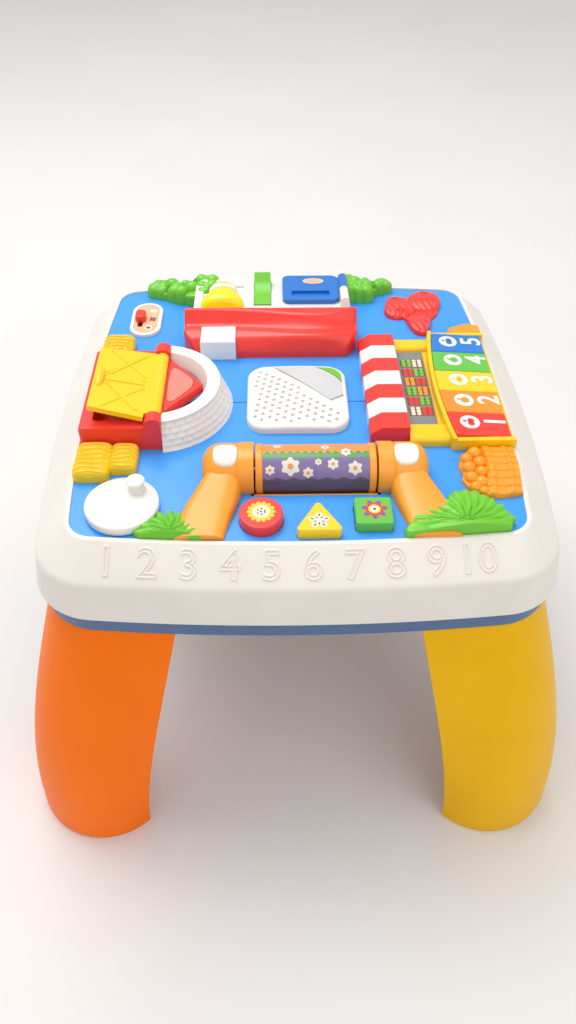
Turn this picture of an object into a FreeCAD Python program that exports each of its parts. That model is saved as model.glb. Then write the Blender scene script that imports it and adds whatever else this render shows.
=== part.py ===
import FreeCAD, Part
import math
import os

from FreeCAD import Vector

# Musical activity table for small children: a square play top in a white rim, on four legs.
# Millimetres. The origin is on the floor under the middle of the top, +X right, +Y back, +Z up.

# Driving dimensions of the top and its rim
panel_height = 300.0
panel_half = 162.0
side_bow_radius = 1495.0
corner_radius = 19.9
panel_thickness = 3.0
lip_width = 3.0
lip_height = 1.5
bevel_width = 23.0
bevel_drop = 18.7
apron_depth = 34.9
apron_flare = 1.8
rim_wall = 2.5
rim_crease_radius = 6.0
ledge_width = 5.0
ledge_thickness = 3.0
cross_groove_y = -11.0
cross_groove_width = 1.0
cross_groove_depth = 0.8

# Driving dimensions of the tray under the top
tray_inset = 4.0
tray_drop = 11.7
tray_wall = 2.5
tray_floor = 3.0
tray_upstand = 16.0
tray_flange = 1.5

# Driving dimensions of the legs
leg_wall = 3.0
leg_foot_centre = 171.0
leg_foot_radius = 57.5
leg_foot_sweep = 86.0
leg_foot_tail = 9.4
leg_top_tail = 59.0
leg_stations = 6
leg_tongue_length = 56.0
leg_tongue_width = 8.0
leg_tongue_height = 18.0
leg_tongue_distance = 214.0

# Named clearances
slide_gap = 0.4
turn_gap = 0.3
shaft_gap = 0.06
seat_gap = 0.1

# House zone at the back
house_left = -84.0
house_right = 51.0
house_back = 151.5
house_height = 14.0
roof_left = -89.5
roof_right = 54.0
roof_front = 48.4
roof_back = 84.5
roof_height = 26.5
roof_corner = 14.0
chimney_left = -75.3
chimney_right = -46.5
chimney_front = 46.3
chimney_back = 69.0
chimney_height = 17.0
house_door_left = -7.3
house_door_front = 108.0
house_door_back = 149.0
house_door_thickness = 4.0
house_hinge_x = 46.3
house_hinge_radius = 3.9
house_barrel_front = 124.5
house_barrel_back = 145.5
house_ear_front = 104.0
house_ear_back = 151.5
house_door_swing = 110.0
house_pocket_depth = 10.0
house_pocket_margin = 4.5
mail_slot_length = 33.0
mail_slot_width = 8.0
mail_slot_depth = 2.4
switch_x = -24.8
switch_width = 14.6
switch_front = 106.5
switch_back = 147.0
switch_throw = 14.0
lamp_x = -59.5
lamp_front = 103.5
lamp_length = 36.0
lamp_front_width = 35.0
lamp_back_width = 23.0
lamp_height = 9.0

# Barn zone on the left
barn_left = -155.5
barn_wall_x = -96.5
barn_front = -66.0
barn_back = 30.0
barn_height = 20.0
barn_floor = 3.0
barn_hinge_x = -102.0
barn_ear_radius = 7.0
barn_ear_length = 10.0
barn_barrel_radius = 4.6
barn_door_left = -149.5
barn_door_front = -61.0
barn_door_back = 18.0
barn_door_taper = 3.5
barn_door_thickness = 4.0
barn_door_rest = 12.0
barn_pocket_left = -146.5
barn_pocket_right = -112.5
barn_pocket_front = -57.0
barn_pocket_back = 13.5
barn_roof_x = -104.5
barn_roof_y = -13.0
barn_roof_foot_radius = 57.5
barn_roof_top_radius = 49.0
barn_roof_height = 22.0
barn_gable_radius = 38.0
barn_gable_floor = 12.0
barn_gable_height = 19.0
barn_gable_apex_x = -69.5
barn_window_inset = 5.0

# Market zone on the right
key_count = 5
key_pitch = 26.2
key_gap = 0.5
key_inner_x = 111.0
key_outer_x = 156.4
key_arc_radius = 445.0
key_inner_height = 12.0
key_outer_height = 9.0
key_underside = 4.0
key_shaft_x = 121.0
key_shaft_height = 6.5
key_shaft_radius = 1.5
key_plunger_x = 147.0
key_plunger_size = 6.0
key_plunger_room = 1.5
key_travel_degrees = 3.0
market_left = 83.2
market_right = 159.4
market_wall = 4.0
market_wall_height = 9.0
market_outer_wall = 2.0
market_outer_height = 4.0
market_tray_height = 3.0
market_bar_height = 7.0
market_front_bar = 20.0
market_back_bar = 15.0
ridge_width = 3.0
ridge_height = 11.0
awning_left = 54.5
awning_knee_height = 8.0
awning_shoulder_x = 63.5
awning_height = 14.0
awning_half = 60.8
awning_centre_y = 0.8
pumpkin_height = 6.0

# Zoo gate at the front
gate_centre_x = 12.5
gate_half_width = 78.5
drum_y = -94.4
drum_axis_height = 5.0
drum_radius = 17.6
drum_ring_radius = 18.3
drum_ring_width = 5.0
drum_half_length = 41.5
drum_end_gap = 1.0
drum_axle_radius = 2.0
drum_axle_grip = 12.0
gate_radius = 19.0
gate_end_radius = 13.0
drum_well_wall = 2.0
cap_length = 17.0
cap_width = 19.0
cap_inner_offset = 53.0
bush_left_x = -86.0
bush_left_half = 24.0
bush_left_depth = 31.0
bush_left_height = 8.5
bush_right_x = 108.5
bush_right_half = 38.0
bush_right_depth = 45.0
bush_right_height = 11.0
bush_base_depth = 6.0

# Buttons, spinner and slider
button_height = 8.0
button_travel = 2.0
button_round = 1.0
button_flange = 1.0
button_flange_thickness = 2.0
button_plunger_radius = 3.0
circle_x = -25.0
circle_y = -138.9
circle_radius = 14.6
triangle_x = 13.0
triangle_front_y = -155.6
triangle_base = 33.0
triangle_depth = 28.0
triangle_round = 2.5
square_x = 49.5
square_y = -137.8
square_side = 24.6
square_round = 2.0
spinner_x = -118.3
spinner_y = -127.4
spinner_radius = 25.15
spinner_height = 8.0
spinner_wall = 2.5
spinner_shaft_radius = 4.0
spinner_knob_radius = 6.3
spinner_knob_height = 9.0
spinner_knob_dx = 9.0
spinner_knob_dy = 11.5
slider_x = -125.8
slider_y = 104.7
slider_width = 26.5
slider_length = 51.0
slider_height = 3.0
slider_border = 3.0
slider_slot_x = -130.6
slider_slot_width = 4.6
slider_travel = 8.0
slider_stem_half = 3.0
slider_knob_width = 9.0
slider_knob_length = 13.0
slider_knob_height = 5.5

# Speaker
speaker_x = 2.3
speaker_y = -10.5
speaker_width = 77.5
speaker_length = 78.5
speaker_height = 8.5
speaker_crown_radius = 400.0
speaker_corner = 15.0
speaker_wall = 2.5
speaker_edge_round = 2.0
speaker_hole_radius = 1.1
speaker_hole_pitch = 5.4
speaker_hole_rows = 7
speaker_driver_radius = 28.0
speaker_driver_depth = 22.0
lens_depth = 1.2

# Inside the tray
button_board_front = -158.0
button_board_back = -119.0
button_board_left = -48.0
button_board_right = 72.0
key_board_left = 126.0
key_board_right = 156.0
button_boss_y = -127.0
board_depth = 12.0
board_thickness = 1.6
pad_height = 4.0
pad_radius = 4.0
battery_count = 3
battery_radius = 7.2
battery_length = 50.0
battery_pitch = 17.0
battery_spring_length = 5.0
battery_y = 60.0
battery_well_wall = 2.0
battery_lid_thickness = 2.0
battery_room = 1.0
screw_radius = 1.5
screw_head_radius = 3.0
screw_head_height = 2.2
boss_radius = 4.0

# Derived heights
panel_top = panel_height
panel_under = panel_top - panel_thickness
lip_top = panel_top + lip_height
crease_z = panel_top - bevel_drop
apron_z = crease_z - apron_depth
tray_z = apron_z - tray_drop
crease_offset = bevel_width
apron_offset = bevel_width + apron_flare
tray_offset = apron_offset - tray_inset
board_top = panel_under - board_depth + panel_thickness
pad_top = board_top + pad_height
battery_well_height = battery_lid_thickness + 2.0 * (battery_radius + battery_room) + battery_well_wall

made = {}


def keep(name, shape):
    """Store a finished piece under its name."""
    made[name] = shape
    return shape


def block(x0, x1, y0, y1, z0, z1):
    """A plain box between two corners."""
    return Part.makeBox(x1 - x0, y1 - y0, z1 - z0, Vector(x0, y0, z0))


def post(x, y, radius, z0, z1):
    """An upright cylinder."""
    return Part.makeCylinder(radius, z1 - z0, Vector(x, y, z0))


def rod_y(x, z, radius, y0, y1):
    """A cylinder that lies along Y."""
    return Part.makeCylinder(radius, y1 - y0, Vector(x, y0, z), Vector(0, 1, 0))


def rod_x(y, z, radius, x0, x1):
    """A cylinder that lies along X."""
    return Part.makeCylinder(radius, x1 - x0, Vector(x0, y, z), Vector(1, 0, 0))


def rounded_rectangle(x0, x1, y0, y1, radius, z):
    """A face with four equal round corners."""
    corners = [(x1 - radius, y1 - radius, 0), (x0 + radius, y1 - radius, 90),
               (x0 + radius, y0 + radius, 180), (x1 - radius, y0 + radius, 270)]
    arcs = []
    for cx, cy, start in corners:
        circle = Part.Circle(Vector(cx, cy, z), Vector(0, 0, 1), radius)
        arcs.append(Part.Arc(circle, math.radians(start), math.radians(start + 90)).toShape())
    edges = []
    for index, arc in enumerate(arcs):
        following = arcs[(index + 1) % len(arcs)]
        edges.append(arc)
        start = arc.Vertexes[-1].Point
        end = following.Vertexes[0].Point
        if start.distanceToPoint(end) > 1e-6:
            edges.append(Part.makeLine(start, end))
    return Part.Face(Part.Wire(edges))


def rounded_block(x0, x1, y0, y1, z0, z1, radius):
    """A box whose upright edges are round."""
    return rounded_rectangle(x0, x1, y0, y1, radius, z0).extrude(Vector(0, 0, z1 - z0))


def polygon(points, z):
    """A flat face through plan points."""
    corners = [Vector(x, y, z) for x, y in points]
    return Part.Face(Part.makePolygon(corners + corners[:1]))


def prism(points, z0, z1):
    """A plan outline raised from z0 to z1."""
    return polygon(points, z0).extrude(Vector(0, 0, z1 - z0))


def profile_along_y(points, y0, y1):
    """An outline of x and z points carried from y0 to y1."""
    corners = [Vector(x, y0, z) for x, z in points]
    face = Part.Face(Part.makePolygon(corners + corners[:1]))
    return face.extrude(Vector(0, y1 - y0, 0))


def join(shapes):
    """Fuse a list of shapes into one clean solid."""
    result = shapes[0]
    if len(shapes) > 1:
        result = result.fuse(shapes[1:])
    return result.removeSplitter()


def edges_at(shape, z, tolerance=1e-3):
    """All edges that lie at one height."""
    found = []
    for edge in shape.Edges:
        box = edge.BoundBox
        if abs(box.ZMin - z) < tolerance and abs(box.ZMax - z) < tolerance:
            found.append(edge)
    return found


def round_top(shape, z, radius):
    """Round every edge of the top face."""
    return shape.makeFillet(radius, edges_at(shape, z))


def mirror_x(shape, x=0.0):
    """The mirror image across an upright plane at x."""
    return shape.mirror(Vector(x, 0, 0), Vector(1, 0, 0))


def outline_wire(offset, z):
    """The table's outline: four bowed sides and four round corners, all moved out by an offset."""
    reach = panel_half - side_bow_radius
    bow = side_bow_radius + offset
    corner = corner_radius + offset
    gap = side_bow_radius - corner_radius
    along = (reach + math.sqrt(2.0 * gap * gap - reach * reach)) / 2.0
    turn = math.atan2(along - reach, along)
    edges = []
    for quarter in range(4):
        spin = math.radians(90.0 * quarter)
        for centre, radius, a0, a1 in (
                ((along, along), corner, math.pi / 2 - turn, turn),
                ((0.0, reach), bow, turn, math.pi - turn)):
            cx = centre[0] * math.cos(spin) - centre[1] * math.sin(spin)
            cy = centre[0] * math.sin(spin) + centre[1] * math.cos(spin)
            circle = Part.Circle(Vector(cx, cy, z), Vector(0, 0, 1), radius)
            edges.append(Part.Arc(circle, a0 + spin, a1 + spin).toShape())
    return Part.Wire(Part.sortEdges(edges)[0])


def outline_prism(offset, z0, z1):
    """The table's outline raised from z0 to z1."""
    return Part.Face(outline_wire(offset, z0)).extrude(Vector(0, 0, z1 - z0))


def outline_taper(offset0, z0, offset1, z1):
    """A straight taper between two offsets of the table's outline."""
    return Part.makeLoft([outline_wire(offset0, z0), outline_wire(offset1, z1)], True, True)


def bevel_offset(z):
    """How far the sloping top of the rim stands out at a height."""
    share = (lip_top - z) / (lip_top - crease_z)
    return lip_width + share * (crease_offset - lip_width)


def make_rim():
    """White rim: a lip round the panel, a sloping top, a round crease and an upright apron."""
    outer = join([outline_taper(apron_offset, apron_z, crease_offset, crease_z),
                  outline_taper(crease_offset, crease_z, lip_width, lip_top)])
    outer = outer.makeFillet(rim_crease_radius, edges_at(outer, crease_z))
    ledge_bottom = panel_under - ledge_thickness
    inner_crease_z = crease_z - rim_wall / 2.0
    inner = join([outline_taper(apron_offset - rim_wall, apron_z, crease_offset - rim_wall, inner_crease_z),
                  outline_taper(crease_offset - rim_wall, inner_crease_z,
                                bevel_offset(ledge_bottom) - rim_wall, ledge_bottom)])
    opening = outline_prism(0.0, panel_under, lip_top + 1.0)
    window = outline_prism(-ledge_width, ledge_bottom - 1.0, panel_top)
    return outer.cut(inner).cut(opening).cut(window).removeSplitter()


def make_tray():
    """Slate blue tray: floor, wall inside the apron and a flange that meets the apron's lower edge."""
    top = apron_z + tray_upstand
    shell = outline_prism(tray_offset, tray_z, top)
    shell = shell.makeChamfer(1.5, edges_at(shell, tray_z))
    hollow = outline_prism(tray_offset - tray_wall, tray_z + tray_floor, top + 1.0)
    flange = outline_prism(apron_offset - rim_wall / 2.0, apron_z - tray_flange, apron_z)
    flange = flange.cut(outline_prism(tray_offset - tray_wall, apron_z - tray_flange - 1.0, apron_z + 1.0))
    tray = shell.cut(hollow).fuse(flange)
    for turn in range(4):
        angle = 45.0 + 90.0 * turn
        socket = tongue_block(tray_wall + seat_gap, tray_z, tray_z + leg_tongue_height + tray_wall)
        pocket = tongue_block(seat_gap, tray_z - 1.0, tray_z + leg_tongue_height + seat_gap)
        for part_shape in (socket, pocket):
            part_shape.rotate(Vector(0, 0, 0), Vector(0, 0, 1), angle)
        tray = tray.fuse(socket).cut(pocket)
    return tray


def tongue_block(grow, z0, z1):
    """The tongue of a leg, or its socket, before it is turned onto its diagonal."""
    inner = leg_tongue_distance - leg_tongue_width / 2.0 - grow
    outer = leg_tongue_distance + leg_tongue_width / 2.0 + grow
    half = leg_tongue_length / 2.0 + grow
    return block(inner, outer, -half, half, z0, z1)


def leg_section(z, inset, reach):
    """One level of a leg: an arc about the diagonal with two straight tails, closed by a chord."""
    share = (tray_z - z) / tray_z
    top_radius = corner_radius + tray_offset
    top_centre = panel_half + tray_offset - top_radius
    ease = share * share * (3.0 - 2.0 * share)
    centre = top_centre + (leg_foot_centre - top_centre) * ease
    radius = top_radius + (leg_foot_radius - top_radius) * math.sin(math.pi / 2.0 * share) - inset
    sweep = math.radians(45.0 + (leg_foot_sweep - 45.0) * share * share)
    tail = leg_top_tail + (leg_foot_tail - leg_top_tail) * share + reach
    along = centre * math.sqrt(2.0)
    arc_end = Vector(along + radius * math.cos(sweep), radius * math.sin(sweep), z)
    tail_end = Vector(arc_end.x - tail * math.sin(sweep), arc_end.y + tail * math.cos(sweep), z)
    apex = Vector(along + radius, 0, z)
    other_arc_end = Vector(arc_end.x, -arc_end.y, z)
    other_tail_end = Vector(tail_end.x, -tail_end.y, z)
    return Part.Wire([Part.makeLine(tail_end, arc_end), Part.Arc(arc_end, apex, other_arc_end).toShape(),
                      Part.makeLine(other_arc_end, other_tail_end), Part.makeLine(other_tail_end, tail_end)])


def leg_solid(inset, reach, z0, z1):
    """A solid leg through several levels."""
    levels = [z0 + (z1 - z0) * step / (leg_stations - 1.0) for step in range(leg_stations)]
    return Part.makeLoft([leg_section(z, inset, reach) for z in levels], True, False)


def make_leg(angle):
    """A half-round shell that is open towards the middle, with a closed top and a tongue."""
    shell = leg_solid(0.0, 0.0, 0.0, tray_z).cut(leg_solid(leg_wall, 12.0, -1.0, tray_z - leg_wall))
    tongue = tongue_block(0.0, tray_z - leg_wall / 2.0, tray_z + leg_tongue_height)
    leg = shell.fuse(tongue).removeSplitter()
    leg.rotate(Vector(0, 0, 0), Vector(0, 0, 1), angle)
    return leg


def circle_outline(grow, z0, z1):
    """The round button's outline."""
    return post(circle_x, circle_y, circle_radius + grow, z0, z1)


def triangle_outline(grow, z0, z1):
    """The three-sided button's outline with round corners."""
    half = triangle_base / 2.0
    corners = [(triangle_x - half, triangle_front_y), (triangle_x + half, triangle_front_y),
               (triangle_x, triangle_front_y + triangle_depth)]
    inner = inset_corners(corners, triangle_round)
    face = polygon(inner, z0).makeOffset2D(triangle_round + grow)
    return face.extrude(Vector(0, 0, z1 - z0))


def inset_corners(corners, distance):
    """Corners of a polygon whose sides all move inwards by a distance."""
    moved = []
    count = len(corners)
    for index in range(count):
        before = Vector(*corners[index - 1], 0)
        here = Vector(*corners[index], 0)
        after = Vector(*corners[(index + 1) % count], 0)
        along = (here - before).normalize()
        onward = (after - here).normalize()
        normal_a = Vector(-along.y, along.x, 0)
        normal_b = Vector(-onward.y, onward.x, 0)
        scale = distance / (1.0 + normal_a.dot(normal_b))
        shifted = here + (normal_a + normal_b) * scale
        moved.append((shifted.x, shifted.y))
    return moved


def square_outline(grow, z0, z1):
    """The square button's outline with round corners."""
    half = square_side / 2.0 + grow
    return rounded_block(square_x - half, square_x + half, square_y - half, square_y + half,
                         z0, z1, square_round + grow)


button_outlines = {"button_circle": (circle_outline, circle_x, circle_y),
                   "button_triangle": (triangle_outline, triangle_x, triangle_front_y + triangle_depth / 3.0),
                   "button_square": (square_outline, square_x, square_y)}


def make_button(name):
    """A button cap with a flange under the panel and a plunger that meets its pad."""
    outline, x, y = button_outlines[name]
    flange_top = panel_under - seat_gap
    flange_bottom = flange_top - button_flange_thickness
    cap = outline(0.0, flange_bottom, panel_top + button_height)
    cap = round_top(cap, panel_top + button_height, button_round)
    flange = outline(button_flange, flange_bottom, flange_top)
    plunger = post(x, y, button_plunger_radius, pad_top, flange_bottom + 1.0)
    return join([cap, flange, plunger])


def key_centre(index):
    """The middle of a key along Y; key 1 is at the front."""
    return (index - (key_count + 1) / 2.0) * key_pitch


def key_field(grow, z0, z1):
    """The plan area inside the arc that the inner ends of the keys follow."""
    return post(key_inner_x + key_arc_radius, 0.0, key_arc_radius + grow, z0, z1)


def make_key(index):
    """A piano key on its shaft: sloping top, arc at its inner end, plunger near its outer end."""
    middle = key_centre(index)
    y0 = middle - key_pitch / 2.0 + key_gap / 2.0
    y1 = middle + key_pitch / 2.0 - key_gap / 2.0
    under = panel_top + key_underside
    body = profile_along_y([(key_inner_x, under), (key_outer_x, under),
                            (key_outer_x, panel_top + key_outer_height),
                            (key_inner_x, panel_top + key_inner_height)], y0, y1)
    body = body.common(key_field(0.0, panel_top, panel_top + key_inner_height + 1.0))
    top_face = max(body.Faces, key=lambda face: face.CenterOfMass.z)
    body = body.makeFillet(1.0, top_face.Edges)
    plunger = block(key_plunger_x - key_plunger_size / 2.0, key_plunger_x + key_plunger_size / 2.0,
                    middle - key_plunger_size / 2.0, middle + key_plunger_size / 2.0, pad_top, under + 1.0)
    bore = rod_y(key_shaft_x, panel_top + key_shaft_height, key_shaft_radius + shaft_gap, y0 - 1.0, y1 + 1.0)
    return join([body, plunger]).cut(bore)


def half_row():
    """Half the length of the row of keys."""
    return key_count * key_pitch / 2.0


def make_key_shaft():
    """The steel rod that all keys turn on; its ends sit in the frame's end walls."""
    half = half_row() + market_wall / 2.0
    return rod_y(key_shaft_x, panel_top + key_shaft_height, key_shaft_radius, -half, half)


def make_market():
    """Yellow stall frame: a tray with two round bars, a curved ridge and a low wall round the keys."""
    inner_half = half_row() + seat_gap
    outer_half = inner_half + market_wall
    outer_field = key_field(ridge_width + slide_gap, panel_top, panel_top + ridge_height)
    key_room = key_field(slide_gap, panel_top - 1.0, panel_top + ridge_height + 1.0)
    ends = block(market_left, market_right, -outer_half, outer_half, panel_top, panel_top + market_wall_height)
    ends = ends.common(outer_field)
    ridge = outer_field.common(block(market_left, market_right, -outer_half, outer_half,
                                     panel_top, panel_top + ridge_height))
    well = block(key_inner_x - ridge_width, key_outer_x + turn_gap * 2.0, -inner_half, inner_half,
                 panel_top - 1.0, panel_top + ridge_height + 1.0).common(key_room)
    beyond = block(key_outer_x - key_pitch / 2.0, market_right + 1.0, -outer_half - 1.0, outer_half + 1.0,
                   panel_top + market_wall_height, panel_top + ridge_height + 1.0)
    ridge = ridge.cut(key_room).cut(beyond)
    outer_wall_cut = block(key_outer_x, market_right + 1.0, -inner_half, inner_half,
                           panel_top + market_outer_height, panel_top + ridge_height + 1.0)
    surround = ends.fuse(ridge).cut(well).cut(outer_wall_cut)
    tray_right = key_inner_x + ridge_width
    tray = block(market_left, tray_right, -inner_half, inner_half, panel_top, panel_top + market_tray_height)
    bars = []
    for y0, y1 in ((-inner_half, market_front_bar - inner_half), (inner_half - market_back_bar, inner_half)):
        bar = block(market_left, tray_right, y0, y1, panel_top, panel_top + market_bar_height)
        upper = [edge for edge in edges_at(bar, panel_top + market_bar_height)
                 if edge.BoundBox.XLength > edge.BoundBox.YLength]
        bars.append(bar.makeFillet(market_bar_height * 0.6, upper))
    stall = tray.fuse(bars).cut(key_room)
    frame = stall.fuse(surround)
    shaft_seat = rod_y(key_shaft_x, panel_top + key_shaft_height, key_shaft_radius,
                       -half_row() - market_wall / 2.0, half_row() + market_wall / 2.0)
    return frame.cut(shaft_seat).removeSplitter()


def make_counter_picture():
    """The thin printed plate in the stall's tray."""
    inner_half = half_row() + seat_gap
    plate = block(market_left + 2.0, key_inner_x - ridge_width - slide_gap - 1.0,
                  market_front_bar - inner_half + 1.0, inner_half - market_back_bar - 1.0,
                  panel_top + market_tray_height, panel_top + market_tray_height + 0.6)
    return plate


def make_awning():
    """The stall's striped awning: a low facetted hood on the panel."""
    y0 = awning_centre_y - awning_half
    y1 = awning_centre_y + awning_half
    right = market_left - seat_gap
    body = profile_along_y([(awning_left, panel_top), (right, panel_top), (right, panel_top + awning_height),
                            (awning_shoulder_x, panel_top + awning_height),
                            (awning_left, panel_top + awning_knee_height)], y0, y1)
    soft = [edge for edge in body.Edges if edge.BoundBox.ZMin > panel_top + 1.0]
    return body.makeFillet(1.6, soft)


def drum_axis_z():
    """Height of the drum's axis above the floor."""
    return panel_top + drum_axis_height


def make_drum():
    """The turning picture drum between the gate's ends."""
    half = drum_half_length - drum_ring_width
    z = drum_axis_z()
    sleeve = rod_x(drum_y, z, drum_radius, gate_centre_x - half, gate_centre_x + half)
    hollow = rod_x(drum_y, z, drum_radius - 2.0, gate_centre_x - half, gate_centre_x + half)
    return sleeve.cut(hollow)


def make_drum_ends():
    """The two end rings that carry the drum on its axle."""
    z = drum_axis_z()
    rings = []
    for side in (-1.0, 1.0):
        outer_x = gate_centre_x + side * drum_half_length
        inner_x = outer_x - side * drum_ring_width
        ring = rod_x(drum_y, z, drum_ring_radius, min(outer_x, inner_x), max(outer_x, inner_x))
        ring = ring.makeFillet(1.0, ring.Edges[0:1] + ring.Edges[2:3])
        plug_x = inner_x - side * 3.0
        plug = rod_x(drum_y, z, drum_radius - 2.0, min(plug_x, inner_x), max(plug_x, inner_x))
        bore = rod_x(drum_y, z, drum_axle_radius, gate_centre_x - 2.0 * drum_half_length,
                     gate_centre_x + 2.0 * drum_half_length)
        rings.append(ring.fuse(plug).cut(bore).removeSplitter())
    return Part.makeCompound(rings)


def axle_half():
    """Half the length of the drum's axle."""
    return drum_half_length + drum_end_gap + drum_axle_grip


def make_drum_axle():
    """The steel axle that turns in the gate's two sleeves."""
    return rod_x(drum_y, drum_axis_z(), drum_axle_radius, gate_centre_x - axle_half(), gate_centre_x + axle_half())


def gate_leg_section(y, outer, inner, height):
    """One cross-section of a gate leg: flat below, round shoulders above."""
    shoulder = min(height * 0.7, 5.0)
    top = panel_top + height
    points = [Vector(outer, y, panel_top), Vector(outer, y, top - shoulder), Vector(outer + shoulder, y, top),
              Vector(inner - shoulder, y, top), Vector(inner, y, top - shoulder), Vector(inner, y, panel_top)]
    bulge = shoulder * (1.0 - math.sqrt(0.5))
    mid_a = Vector(outer + bulge, y, top - bulge)
    mid_b = Vector(inner - bulge, y, top - bulge)
    return Part.Wire([Part.makeLine(points[0], points[1]), Part.Arc(points[1], mid_a, points[2]).toShape(),
                      Part.makeLine(points[2], points[3]), Part.Arc(points[3], mid_b, points[4]).toShape(),
                      Part.makeLine(points[4], points[5]), Part.makeLine(points[5], points[0])])


def make_gate_half():
    """The left half of the gate: a sleeve for the drum and a leg that flares towards the rim."""
    z = drum_axis_z()
    outer_x = gate_centre_x - gate_half_width
    inner_x = gate_centre_x - drum_half_length - drum_end_gap
    sleeve = rod_x(drum_y, z, gate_radius, outer_x, inner_x)
    end = [edge for edge in sleeve.Edges if abs(edge.BoundBox.XMin - outer_x) < 1e-3
           and abs(edge.BoundBox.XMax - outer_x) < 1e-3]
    sleeve = sleeve.makeFillet(gate_end_radius, end)
    sleeve = sleeve.common(block(outer_x, inner_x, drum_y - 30.0, drum_y + 30.0, panel_top, z + 30.0))
    rim_y = -panel_half + 2.0
    start_y = drum_y - gate_radius * 0.25
    stations = []
    for share, outer, inner, height in ((0.0, 1.5, 26.0, 17.0), (0.25, -7.0, 24.5, 13.5), (0.5, -14.5, 19.5, 10.0),
                                        (0.75, -21.0, 14.0, 7.0), (1.0, -26.0, 10.0, 4.5)):
        y = start_y + (rim_y - start_y) * share
        stations.append(gate_leg_section(y, outer_x + outer, outer_x + inner, height))
    leg = Part.makeLoft(stations, True, False)
    return sleeve.fuse(leg)


def lobed_solid(lobes, height, clip, edge_round):
    """Round lobes that grow together and are cut off by the straight side that they stand against."""
    posts = [post(x, y, radius, panel_top, panel_top + height) for x, y, radius in lobes]
    body = join(posts).common(clip).removeSplitter()
    return round_top(body, panel_top + height, edge_round)


def make_speaker_cover():
    """The white crowned cover with sound holes and a hollow underside."""
    x0, x1 = speaker_x - speaker_width / 2.0, speaker_x + speaker_width / 2.0
    y0, y1 = speaker_y - speaker_length / 2.0, speaker_y + speaker_length / 2.0
    top = panel_top + speaker_height
    body = rounded_block(x0, x1, y0, y1, panel_top, top + 1.0, speaker_corner)
    crown = Part.makeSphere(speaker_crown_radius, Vector(speaker_x, speaker_y, top - speaker_crown_radius))
    body = body.common(crown)
    upper = [edge for edge in body.Edges if edge.BoundBox.ZMin > panel_top + speaker_height * 0.4]
    body = body.makeFillet(speaker_edge_round, upper)
    wall = speaker_wall
    hollow = rounded_block(x0 + wall, x1 - wall, y0 + wall, y1 - wall, panel_top - 1.0,
                           panel_top + speaker_height * 0.4, speaker_corner - wall)
    return body.cut(hollow)


def leaf_fan(centre_x, base_y, half_width, depth, count, height, base_depth):
    """A bush: leaves that fan out from the rim, over a straight base."""
    points = [(centre_x - half_width, base_y), (centre_x + half_width, base_y),
              (centre_x + half_width, base_y + base_depth)]
    for index in range(count):
        for share, reach in ((0.5, 1.0), (1.0, 0.78)):
            angle = math.pi * (index + share) / count
            if index == count - 1 and share == 1.0:
                continue
            points.append((centre_x + half_width * reach * math.cos(angle),
                           base_y + base_depth + (depth - base_depth) * reach * math.sin(angle)))
    points.append((centre_x - half_width, base_y + base_depth))
    body = prism(points, panel_top, panel_top + height)
    slope = profile_slope(centre_x, half_width, base_y, depth, height)
    return body.cut(slope)


def profile_slope(centre_x, half_width, base_y, depth, height):
    """The wedge that lowers a bush towards its leaf tips."""
    x0 = centre_x - half_width - 5.0
    x1 = centre_x + half_width + 5.0
    top = panel_top + height
    corners = [Vector(x0, base_y + depth * 0.3, top), Vector(x0, base_y + depth * 1.1, top - height * 0.45),
               Vector(x0, base_y + depth * 1.1, top + 5.0), Vector(x0, base_y + depth * 0.3, top + 5.0)]
    face = Part.Face(Part.makePolygon(corners + corners[:1]))
    return face.extrude(Vector(x1 - x0, 0, 0))


def rim_edge_y(x, inset):
    """Where the bowed front side of the panel lies at x, moved in by an inset."""
    return -(math.sqrt((side_bow_radius - inset) ** 2 - x * x) + panel_half - side_bow_radius)


def make_bush_left():
    """The small bush in front of the gate's left leg."""
    y = rim_edge_y(abs(bush_left_x) + bush_left_half, slide_gap)
    bush = leaf_fan(bush_left_x, y, bush_left_half, bush_left_depth, 7, bush_left_height, bush_base_depth)
    return biggest(bush.cut(post(spinner_x, spinner_y, spinner_radius + 2.0 * slide_gap, panel_top - 1.0,
                                 panel_top + bush_left_height + 1.0)))


def make_bush_right():
    """The large bush in front of the gate's right leg."""
    y = rim_edge_y(bush_right_x + bush_right_half, slide_gap)
    return leaf_fan(bush_right_x, y, bush_right_half, bush_right_depth, 9, bush_right_height, bush_base_depth)


def gate_cap_box(side):
    """The place of a white cap on top of one end of the gate."""
    inner = gate_centre_x + side * cap_inner_offset
    outer = inner + side * cap_length
    return rounded_block(min(inner, outer), max(inner, outer), drum_y - cap_width / 2.0, drum_y + cap_width / 2.0,
                         drum_axis_z(), drum_axis_z() + gate_radius + 5.0, 3.5)


def drum_well(wall):
    """The trough under the drum as a half cylinder, or its outside when a wall is given."""
    half = drum_half_length + drum_end_gap + wall
    radius = drum_ring_radius + drum_end_gap + wall
    tube = rod_x(drum_y, drum_axis_z(), radius, gate_centre_x - half, gate_centre_x + half)
    return tube.common(block(-panel_half, panel_half, -panel_half, 0.0, tray_z, panel_top))


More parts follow.
